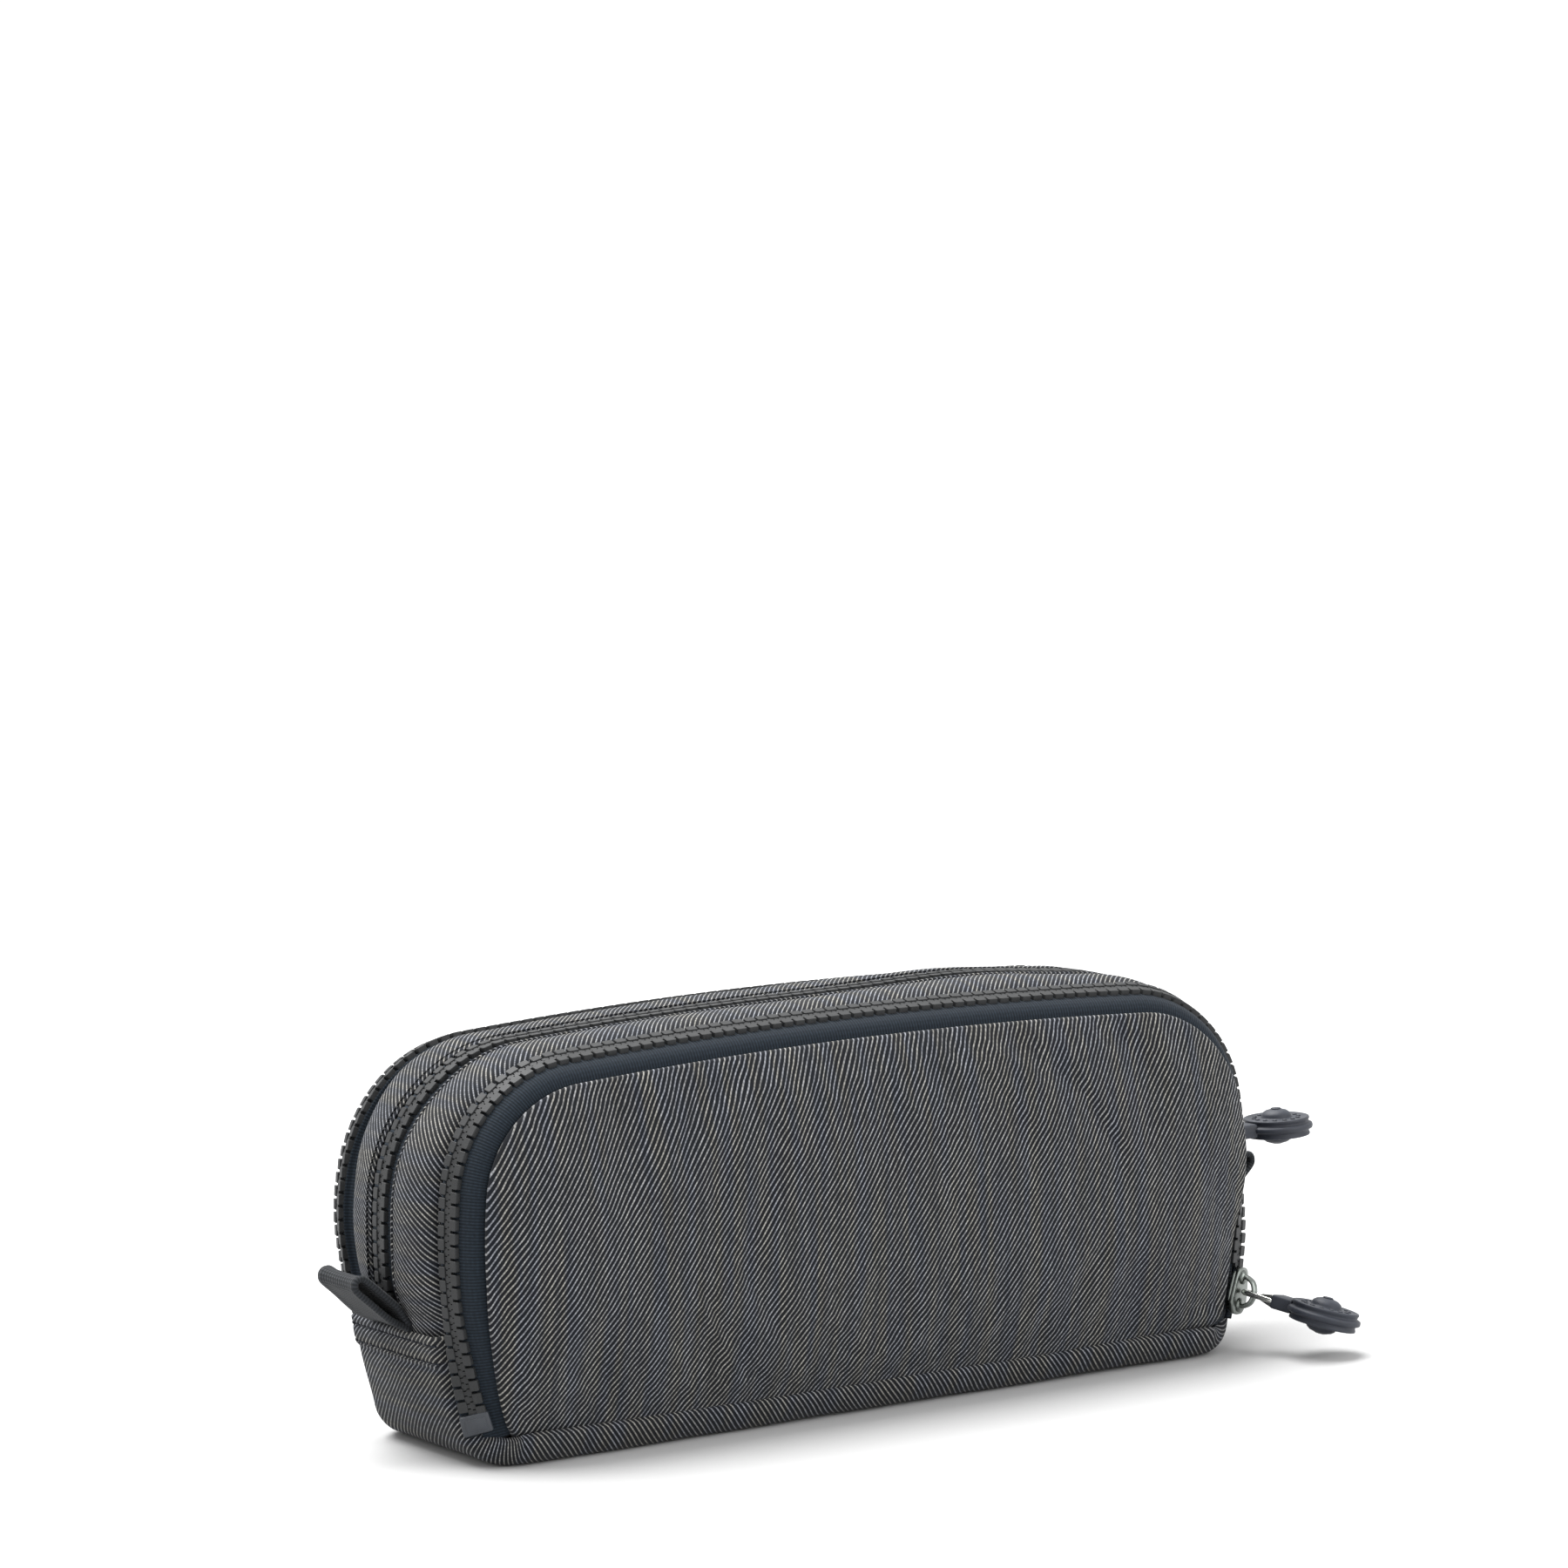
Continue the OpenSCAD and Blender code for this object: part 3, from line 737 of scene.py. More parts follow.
@dataclass(frozen=True)
class Arch:
    """The line of the front zip in the plane of X and Z: five arcs that meet smoothly."""

    half_length: float
    height: float
    half_foot: float = 101.9
    wide_z: float = 46.0
    corner_r: float = 31.3
    crown: float = 2.7
    foot_z: float = 8.5
    proud: float = 4.2
    zip_y: float = 26.0
    arch_tilt: float = 14.0
    foot_tilt: float = 60.0
    tape_tilt: float = 66.0
    tape_bend: tuple[float, float] = (3.0, 8.0)
    right_turn: tuple[float, float] = (24.0, 52.0)
    left_turn: tuple[float, float] = (8.5, 40.0)
    # The middle zip stands proud on the ends and lies lower over the top
    top_proud: float = 1.4
    settle: tuple[float, float] = (58.0, 88.0)
    rise: float = 1.5
    rise_x: float = 46.0
    # The rear zip's ends belly out a little
    rear_puff: float = 2.3
    left_sink: float = 2.6
    spare: float = 5.0
    step: float = 0.25

    @classmethod
    def from_frame(cls, chain_t: float = 2.4) -> "Arch":
        """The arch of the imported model, measured from its middle chain."""
        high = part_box("middle_zip_front_teeth")[1]
        out = cls.proud + chain_t / 2
        return cls(half_length=round(high.x / MM - out, 2), height=round(high.z / MM - out, 2))

    def __post_init__(self) -> None:
        """Samples the line finely from the left foot over the top to the right foot."""
        inset = self.half_length - self.half_foot
        side_r = ((self.wide_z - self.foot_z) ** 2 + inset**2) / (2 * inset)
        crown_x = 0.75 * self.half_length
        top_r = (crown_x**2 + self.crown**2) / (2 * self.crown)
        side_c = np.array([self.half_length - side_r, self.wide_z])
        top_c = np.array([0.0, self.height - top_r])
        near_side, near_top = side_r - self.corner_r, top_r - self.corner_r
        reach = np.linalg.norm(top_c - side_c)
        along = (near_side**2 - near_top**2 + reach**2) / (2 * reach)
        across = math.sqrt(near_side**2 - along**2)
        to_top = (top_c - side_c) / reach
        corner_c = side_c + along * to_top + across * np.array([-to_top[1], to_top[0]])
        foot = -math.asin((self.wide_z - self.foot_z) / side_r) - self.spare / side_r
        start = math.atan2(*(corner_c - side_c)[::-1])
        end = math.atan2(*(corner_c - top_c)[::-1])
        centres, angles = [], []
        for c, r, a, b in (
            (side_c, side_r, foot, start), (corner_c, self.corner_r, start, end),
            (top_c, top_r, end, math.pi / 2),
        ):
            count = max(2, int(r * abs(b - a) / self.step))
            t = a + (b - a) * np.arange(count) / count
            angles.append(t)
            centres.append(np.column_stack([c[0] + r * np.cos(t), c[1] + r * np.sin(t)]))
        pos = np.vstack(centres + [[[0.0, self.height]]])
        ang = np.concatenate(angles + [[math.pi / 2]])
        nrm = np.column_stack([np.cos(ang), np.sin(ang)])
        flip = np.array([-1.0, 1.0])
        pos = np.vstack([pos * flip, pos[-2::-1]])
        nrm = np.vstack([nrm * flip, nrm[-2::-1]])
        run = np.concatenate([[0], np.cumsum(np.linalg.norm(np.diff(pos, axis=0), axis=1))]) - self.spare
        for key, value in (("pos", pos), ("nrm", nrm), ("run", run), ("side_r", side_r), ("side_c", side_c)):
            object.__setattr__(self, key, value)

    @property
    def length(self) -> float:
        """Length of the line from foot to foot, in millimetres."""
        return float(self.run[-1]) - self.spare

    def at_height(self, z: float, right: bool = False) -> float:
        """Distance along the line to a height on its left or right end."""
        half = len(self.run) // 2
        s = float(np.interp(z, self.pos[:half, 1], self.run[:half]))
        return self.length - s if right else s

    def line(self, s: np.ndarray) -> tuple[np.ndarray, np.ndarray]:
        """Points and outward normals at distances along the line."""
        s = np.asarray(s, float)
        pos = np.stack([np.interp(s, self.run, self.pos[:, k]) for k in (0, 1)], -1)
        nrm = unit(np.stack([np.interp(s, self.run, self.nrm[:, k]) for k in (0, 1)], -1))
        return pos, nrm

    def surface(self, s: np.ndarray, y: np.ndarray, n: np.ndarray) -> np.ndarray:
        """Points in metres at a distance s along, at y, and n inwards from the line."""
        s, y, n = np.broadcast_arrays(s, y, n)
        pos, nrm = self.line(s)
        p = pos - nrm * n[..., None]
        return np.stack([p[..., 0], y, p[..., 1]], -1) * MM

    def tilt(self, s: np.ndarray) -> np.ndarray:
        """Tilt of the outer zips in radians: they turn to face forwards at their ends."""
        pos, _ = self.line(s)
        turn = np.where(
            pos[..., 0] > 0,
            smooth((pos[..., 1] - self.right_turn[0]) / (self.right_turn[1] - self.right_turn[0])),
            smooth((pos[..., 1] - self.left_turn[0]) / (self.left_turn[1] - self.left_turn[0])),
        )
        return np.radians(self.foot_tilt + (self.arch_tilt - self.foot_tilt) * turn)

    def on_end(self, s: np.ndarray) -> np.ndarray:
        """1 on the upright ends, falling to 0 over the top."""
        pos, _ = self.line(s)
        return 1 - smooth((pos[..., 1] - self.settle[0]) / (self.settle[1] - self.settle[0]))

    def crest(self, s: np.ndarray) -> np.ndarray:
        """How much higher than its least the middle zip lies over the top."""
        pos, _ = self.line(s)
        return (1 - self.on_end(s)) * self.rise * np.exp(-(((pos[..., 0] - self.rise_x) / 24.0) ** 2))

    def middle(self, s: np.ndarray) -> np.ndarray:
        """How far the middle zip stands proud of the outer ones."""
        low = self.top_proud + self.crest(s)
        return low + (self.proud - self.top_proud) * self.on_end(s)

    def puff(self, side: Side, x: np.ndarray, z: np.ndarray) -> np.ndarray:
        """How far the rear zip bellies out on the ends, and sinks at its left foot."""
        if side is Side.FRONT:
            return np.zeros_like(z)
        sunk = self.left_sink * (1 - smooth((z - 14.0) / 18.0)) * (x < 0)
        return self.rear_puff * np.exp(-(((z - 54.0) / 16.0) ** 2)) - sunk

    def zip_section(self, s: np.ndarray, d: np.ndarray, e: np.ndarray) -> tuple[np.ndarray, np.ndarray]:
        """Distance from the middle plane and depth n of a point of the outer zips.

        The chain lies flat at its own tilt, and the tape bends over to the panel.

        Args:
            s: Distance along the line.
            d: Distance across the zip, towards its panel.
            e: Height above the zip's middle plane.

        Returns:
            The distance from the middle plane and n, both in millimetres.
        """
        tilt, d, e = np.broadcast_arrays(self.tilt(s), d, e)
        near, far = self.tape_bend
        turn = np.maximum(math.radians(self.tape_tilt) - tilt, 1e-3)
        angle = tilt + turn * np.clip((d - near) / (far - near), 0, 1)
        radius = (far - near) / turn
        flat, over = np.minimum(d, near), np.maximum(d - far, 0)
        y = flat * np.cos(tilt) + radius * (np.sin(angle) - np.sin(tilt)) + over * np.cos(angle)
        n = flat * np.sin(tilt) + radius * (np.cos(tilt) - np.cos(angle)) + over * np.sin(angle)
        return self.zip_y + y + e * np.sin(angle), n - e * np.cos(angle)

    def zip_point(self, side: Side, s: np.ndarray, d: np.ndarray, e: np.ndarray) -> np.ndarray:
        """Points in metres of the front or rear zip."""
        y, n = self.zip_section(s, d, e)
        pos, _ = self.line(s)
        return self.surface(s, side.value * y, n - self.puff(side, pos[..., 0], pos[..., 1]))

    def zip_face(self, side: Side, s: np.ndarray) -> np.ndarray:
        """Outward direction of the front or rear zip's face."""
        _, nrm = self.line(s)
        tilt = self.tilt(s)
        return np.stack(
            [nrm[..., 0] * np.cos(tilt), side.value * np.sin(tilt), nrm[..., 1] * np.cos(tilt)], -1,
        )


# ---- Repeats along a line: teeth, stitches and embossed dots ----


class Repeater:
    """One Geometry Nodes tree that sets a prototype at even steps along a line."""

    def __init__(self) -> None:
        """Builds the tree: line, even points, turned copies, real mesh, material."""
        tree = bpy.data.node_groups.new("copies_along_line", "GeometryNodeTree")
        sockets = {}
        for label, kind in (
            ("Line", "Geometry"), ("Count", "Int"), ("Prototype", "Object"), ("Finish", "Material"),
            ("Jitter", "Float"), ("Seed", "Int"),
        ):
            sockets[label] = tree.interface.new_socket(
                label, in_out="INPUT", socket_type=f"NodeSocket{kind}",
            ).identifier
        tree.interface.new_socket("Mesh", in_out="OUTPUT", socket_type="NodeSocketGeometry")
        given = tree.nodes.new("NodeGroupInput").outputs
        curve = add(tree, "GeometryNodeMeshToCurve", links={"Mesh": given["Line"]})
        even = add(
            tree, "GeometryNodeResampleCurve", links={"Curve": curve.outputs[0], "Count": given["Count"]},
            mode="COUNT",
        )
        face = add(tree, "GeometryNodeInputNamedAttribute", {"Name": "face"}, data_type="FLOAT_VECTOR")
        tangent = add(tree, "GeometryNodeInputTangent")
        turn = add(
            tree, "FunctionNodeAxesToRotation", links={
                "Primary Axis": face.outputs["Attribute"], "Secondary Axis": tangent.outputs[0],
            },
            primary_axis="Z", secondary_axis="Y",
        )
        low = add(tree, "ShaderNodeMath", {0: 1.0}, {1: given["Jitter"]}, operation="SUBTRACT")
        size = add(
            tree, "FunctionNodeRandomValue", {3: 1.0}, {2: low.outputs[0], "Seed": given["Seed"]},
            data_type="FLOAT",
        )
        shape = add(tree, "GeometryNodeObjectInfo", links={"Object": given["Prototype"]})
        copies = add(
            tree, "GeometryNodeInstanceOnPoints",
            links={
                "Points": even.outputs[0], "Instance": shape.outputs["Geometry"],
                "Rotation": turn.outputs[0], "Scale": size.outputs[1],
            },
        )
        real = add(tree, "GeometryNodeRealizeInstances", links={"Geometry": copies.outputs[0]})
        done = add(
            tree, "GeometryNodeSetMaterial",
            links={"Geometry": real.outputs[0], "Material": given["Finish"]},
        )
        out = tree.nodes.new("NodeGroupOutput")
        tree.links.new(done.outputs[0], out.inputs[0])
        self.tree, self.sockets = tree, sockets

    def along(
        self, name: str, line: np.ndarray, face: np.ndarray, count: int, prototype: bpy.types.Object,
        finish: bpy.types.Material, jitter: float = 0.0,
    ) -> bpy.types.Object:
        """Copies of a prototype along a line.

        Args:
            name: The piece's name.
            line: Points of the line in metres; a copy's Y follows its direction.
            face: Direction of a copy's Z at each point.
            count: How many copies.
            prototype: The object that is copied.
            finish: The copies' material.
            jitter: Largest random loss of size, as a share.

        Returns:
            The copies as one plain mesh.
        """
        mesh = bpy.data.meshes.new(name)
        mesh.from_pydata([tuple(p) for p in line], [(i, i + 1) for i in range(len(line) - 1)], [])
        mesh.attributes.new("face", "FLOAT_VECTOR", "POINT").data.foreach_set(
            "vector", np.asarray(face, np.float32).ravel(),
        )
        obj = bpy.data.objects.new(name, mesh)
        bpy.context.scene.collection.objects.link(obj)
        mod = obj.modifiers.new("copies", "NODES")
        mod.node_group = self.tree
        for label, value in (
            ("Count", count), ("Prototype", prototype), ("Finish", finish), ("Jitter", jitter), ("Seed", 7),
        ):
            mod[self.sockets[label]] = value
        return bake(obj)


@dataclass
class Zips:
    """What the three zips share: their chain's sizes, a tooth, and rows of teeth."""

    arch: Arch
    repeater: Repeater
    finishes: Finishes
    pitch: float = 3.1
    half_w: float = 3.0
    chain_t: float = 2.4
    tooth_l: float = 2.5
    head_reach: float = 1.0
    head_t: float = 1.9
    hem_z: float = 30.5
    dip: float = 2.3
    dip_top: float = 43.0
    chain_foot: float = 13.7

    def __post_init__(self) -> None:
        """Makes the prototype of a tooth: a block that grips the tape, a neck and a head."""
        h, t = self.tooth_l / 2, self.chain_t / 2
        block = prism(
            "tooth",
            (
                (0.85, -h + 0.15), (1.0, -h), (self.half_w - 0.2, -h), (self.half_w, -h + 0.2),
                (self.half_w, h - 0.2), (self.half_w - 0.2, h), (1.0, h), (0.85, h - 0.15),
            ),
            -t, t,
        )
        w = self.head_t / 2
        head = prism(
            "tooth_head",
            (
                (0.9, -0.45), (0.25, -0.45), (-0.1, -w + 0.1), (-self.head_reach + 0.2, -w + 0.1),
                (-self.head_reach, -0.3), (-self.head_reach, 0.3), (-self.head_reach + 0.2, w - 0.1),
                (-0.1, w - 0.1), (0.25, 0.45), (0.9, 0.45),
            ),
            -t + 0.3, t - 0.3,
        )
        self.tooth = joined("tooth_prototype", [bevelled(block, 0.22, 1), head])
        self.tooth.data.shade_flat()
        self.tooth.hide_render = True

    def sunk(self, s: np.ndarray) -> np.ndarray:
        """How far the middle zip and the gusset dip to go behind the hem, at each end."""
        pos, _ = self.arch.line(s)
        return self.dip * (1 - smooth((pos[..., 1] - self.hem_z) / (self.dip_top - self.hem_z)))

    def row(
        self, name: str, start: float, end: float, point: Callable, face: Callable, forward: bool,
    ) -> bpy.types.Object:
        """One row of teeth along a chain.

        Args:
            name: The piece's name.
            start: Where the chain starts, as a distance along the arch.
            end: Where it ends.
            point: Gives points of the chain's middle line from such distances.
            face: Gives the chain's outward direction there.
            forward: Whether the row is the one on the right of its direction.

        Returns:
            The row as one mesh.
        """
        count = int((end - start) / self.pitch)
        first = start + (0.0 if forward else self.pitch / 2)
        s = np.linspace(first, first + (count - 1) * self.pitch, 4 * count)
        if not forward:
            s = s[::-1]
        return self.repeater.along(name, point(s), face(s), count, self.tooth, self.finishes.teeth)


def stop_block(name: str, matrix: Matrix, width: float, length: float, thick: float) -> bpy.types.Object:
    """A moulded stop at the end of a chain: a rounded block with a raised middle.

    Args:
        name: The piece's name.
        matrix: Its place, with X across the chain and Y along it.
        width: Size across the chain in millimetres.
        length: Size along it.
        thick: Thickness.

    Returns:
        The piece.
    """
    w, l, t = width / 2, length / 2, thick / 2
    base = bevelled(prism(name, ((-w, -l), (w, -l), (w * 0.96, l), (-w * 0.96, l)), -t, t), 0.45, 3)
    ridge = bevelled(
        prism(
            name, ((-w * 0.7, -l * 0.66), (w * 0.7, -l * 0.66), (w * 0.66, l * 0.6), (-w * 0.66, l * 0.6)),
            t - 0.3, t + 0.16,
        ),
        0.14, 2,
    )
    return placed(joined(name, [base, ridge]), matrix)


def axes(origin: np.ndarray, y_axis: np.ndarray, z_axis: np.ndarray) -> Matrix:
    """A placing matrix from its origin in metres, its Y and its Z."""
    z = Vector(z_axis).normalized()
    x = Vector(y_axis).cross(z).normalized()
    y = z.cross(x)
    return Matrix.Translation(Vector(origin)) @ Matrix((x, y, z)).transposed().to_4x4()


# ---- The gusset between the zips ----


@dataclass
class Gusset:
    """One side of the arch: strip, lining, half of the middle zip, inner half of the outer."""

    side: Side
    zips: Zips
    denim_t: float = 1.4
    lining_t: float = 0.5
    tape_t: float = 0.6
    # Sections of the strip from the middle zip to the outer one, on an end and over
    # the top: distance from the middle plane and depth below the arch's line
    end_section: tuple = (
        (5.9, -4.0), (5.3, -4.5), (6.1, -4.85), (9.0, -5.2), (13.0, -5.2), (17.0, -4.5),
        (19.5, -3.4), (21.0, -2.0), (21.4, -0.8), (21.1, 0.2), (20.2, 1.0),
    )
    rear_end_section: tuple = (
        (5.9, -4.0), (5.3, -4.5), (6.1, -4.8), (9.0, -4.6), (12.0, -3.8), (14.8, -2.7),
        (16.8, -1.5), (17.8, -0.5), (18.1, 0.3), (17.8, 1.0), (16.9, 1.6),
    )
    top_section: tuple = (
        (5.9, -1.2), (5.3, -1.7), (6.1, -2.05), (9.0, -2.4), (13.0, -2.6), (17.0, -2.3),
        (19.5, -1.5), (21.0, -0.3), (21.4, 0.8), (21.1, 1.8), (20.2, 2.6),
    )
    hidden: float = 3.5
    step: float = 1.6

    def span(self, low: float, high: float) -> np.ndarray:
        """Distances along the arch from one height on the left to another on the right."""
        arch = self.zips.arch
        start, end = arch.at_height(low), arch.at_height(high, True)
        return np.linspace(start, end, int((end - start) / self.step))

    def strip_section(self, s: np.ndarray) -> tuple[np.ndarray, np.ndarray]:
        """The denim strip's distance from the middle plane and depth, all along it."""
        arch = self.zips.arch
        end = spline(self.end_section if self.side is Side.FRONT else self.rear_end_section, 24)
        top = spline(self.top_section, 24)
        w = arch.on_end(s)[:, None]
        y = w * end[:, 0] + (1 - w) * top[:, 0]
        n = w * end[:, 1] + (1 - w) * top[:, 1]
        pos, _ = arch.line(s)
        n = n - arch.crest(s)[:, None] * np.clip(1.3 - y / 18.0, 0, 1)
        n = n - arch.puff(self.side, pos[:, 0], pos[:, 1])[:, None] * smooth((y - 8) / 12.0)
        return y, n + self.zips.sunk(s)[:, None]

    def strip(
        self, name: str, s: np.ndarray, y: np.ndarray, n: np.ndarray, thick: float, wobble: float = 0.0,
    ) -> bpy.types.Object:
        """A strip of cloth over the arch.

        Args:
            name: The piece's name.
            s: Distances along the arch.
            y: Distance from the middle plane, for each of them and across.
            n: Depth below the arch's line, shaped the same.
            thick: Thickness.
            wobble: Height of its unevenness.

        Returns:
            The piece.
        """
        arch = self.zips.arch
        grid = arch.surface(s[:, None], self.side.value * y, n)
        if wobble:
            middle = np.sin(np.pi * np.linspace(0, 1, y.shape[1]))
            n = n + wobble * middle * waver(grid, 17.0, 3.0 + self.side.value)
            grid = arch.surface(s[:, None], self.side.value * y, n)
        across = np.concatenate(
            [[0], np.cumsum(np.hypot(np.diff(y[len(y) // 2]), np.diff(n[len(n) // 2])))]
        ) + y[0, 0]
        uv = np.stack(np.broadcast_arrays(s[:, None], self.side.value * across[None, :]), -1) * MM
        return cloth_shell(name, grid, thick, uv, Vector((0, 0, 0.04)))

    def build(self) -> None:
        """Makes the side's pieces, and sets the outer zip's inner tape, teeth and stop on the side's half."""
        z, arch, word = self.zips, self.zips.arch, self.side.word
        look = z.finishes
        half = f"{word}_half"
        s = self.span(z.hem_z - self.hidden, z.hem_z - self.hidden)
        y, n = self.strip_section(s)
        strip = self.strip(f"{word}_gusset_denim", s, y, n, self.denim_t, 0.35)
        self.on_half(dress(strip, look.denim), "denim", f"{word}_gusset")
        lining = self.strip(
            f"{word}_gusset_lining_cloth", s, y[:, 3:-4], n[:, 3:-4] + self.denim_t + 0.6, self.lining_t,
            0.3,
        )
        self.on_half(
            dress(lining, look.lining), "lining", f"{word}_gusset_lining",
        )
        section = spline(((0.9, 0.0), (3.2, 0.0), (5.4, 0.2), (8.0, 1.3), (11.5, 1.5)), 12)
        height = (z.sunk(s) - arch.middle(s))[:, None]
        y, n = section[:, 0] + 0 * height, section[:, 1] + height
        tape = self.strip(f"middle_zip_{word}_tape_cloth", s, y, n, self.tape_t)
        self.on_half(
            dress(tape, look.tape), "zip_tape", f"middle_zip_{word}_tape",
        )

        def chain(s: np.ndarray) -> np.ndarray:
            return arch.surface(s, np.zeros_like(s), z.sunk(s) - arch.middle(s))

        def outward(s: np.ndarray) -> np.ndarray:
            _, nrm = arch.line(s)
            return np.stack([nrm[:, 0], np.zeros(len(s)), nrm[:, 1]], -1)

        start = arch.at_height(z.hem_z + 4.0)
        end = arch.at_height(z.hem_z - 1.0, True)
        teeth = z.row(f"middle_zip_{word}_teeth_row", start, end, chain, outward, self.side is Side.FRONT)
        self.blend(teeth)
        self.finish(teeth, "zip_teeth", f"middle_zip_{word}_teeth")
        self.outer_zip(half)

    def outer_zip(self, half: str) -> None:
        """The inner tape, inner teeth and bottom stop of this side's zip."""
        z, arch, word = self.zips, self.zips.arch, self.side.word
        s = np.linspace(-0.4, arch.length + 0.4, int(arch.length / self.step))[:, None]
        across = [arch.zip_section(s, d, 0.0) for d in (-0.7, -2.2, -3.3)]
        deep = ((22.3, 0.6), (21.5, 2.1), (19.8, 3.0), (17.0, 3.2))
        shallow = ((22.3, 0.3), (21.0, 0.7), (18.4, 1.3), (13.8, 1.7))
        w = arch.on_end(s) * (self.side is Side.REAR)
        for (y, n), (y_end, n_end) in zip(deep, shallow):
            across.append(((1 - w) * y + w * y_end, (1 - w) * n + w * n_end))
        y = np.hstack([a[0] for a in across])
        n = np.hstack([a[1] for a in across])
        fine = np.linspace(0, len(across) - 1, 19)
        y = np.stack([np.interp(fine, range(len(across)), row) for row in y])
        n = np.stack([np.interp(fine, range(len(across)), row) for row in n])
        pos, _ = arch.line(s)
        grid = arch.surface(s, self.side.value * y, n - arch.puff(self.side, pos[..., 0], pos[..., 1]))
        run = np.concatenate([[0], np.cumsum(np.hypot(np.diff(y[0]), np.diff(n[0])))])
        uv = np.stack(np.broadcast_arrays(s, run[None, :]), -1) * MM
        tape = dress(
            cloth_shell(f"{word}_zip_inner_tape_cloth", grid, self.tape_t, uv, Vector((0, 0, 0.04))),
            z.finishes.tape,
        )
        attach(tape, half)
        self.finish(tape, "zip_tape", f"{word}_zip_inner_tape")
        forward = self.side is Side.REAR
        teeth = z.row(
            f"{word}_zip_inner_teeth_row", arch.at_height(z.chain_foot), arch.at_height(16.5, True),
            lambda t: arch.zip_point(self.side, t, 0.0, 0.0), lambda t: arch.zip_face(self.side, t), forward,
        )
        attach(teeth, half)
        self.finish(teeth, "zip_teeth", f"{word}_zip_inner_teeth")
        mid = np.array([arch.at_height(arch.foot_z) + 2.6])
        origin = arch.zip_point(self.side, mid, 0.0, 0.1)[0]
        ahead = arch.zip_point(self.side, mid + 1.0, 0.0, 0.1)[0] - origin
        stop = stop_block(
            f"{word}_zip_box_stop", axes(origin, ahead, arch.zip_face(self.side, mid)[0]), 7.0, 4.8, 3.0,
        )
        dress(stop, z.finishes.stop)
        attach(stop, half)
        self.finish(stop, "zip_teeth", f"{word}_zip_bottom_stop")

    def blend(self, obj: bpy.types.Object) -> None:
        """Bakes a piece's placing into its mesh."""
        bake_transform(obj)

    def on_half(self, obj: bpy.types.Object, slot: str, node: str) -> None:
        """Bakes a strip of cloth into place, hides its CAD node and logs it."""
        self.blend(obj)
        self.finish(obj, slot, node)

    def finish(self, obj: bpy.types.Object, slot: str, node: str) -> None:
        """Hides the CAD node that a piece stands for and logs it."""
        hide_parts(node)
        LOG.info("%s stands for %s", obj.name, node)


# ---- The panels that the outer zips open ----


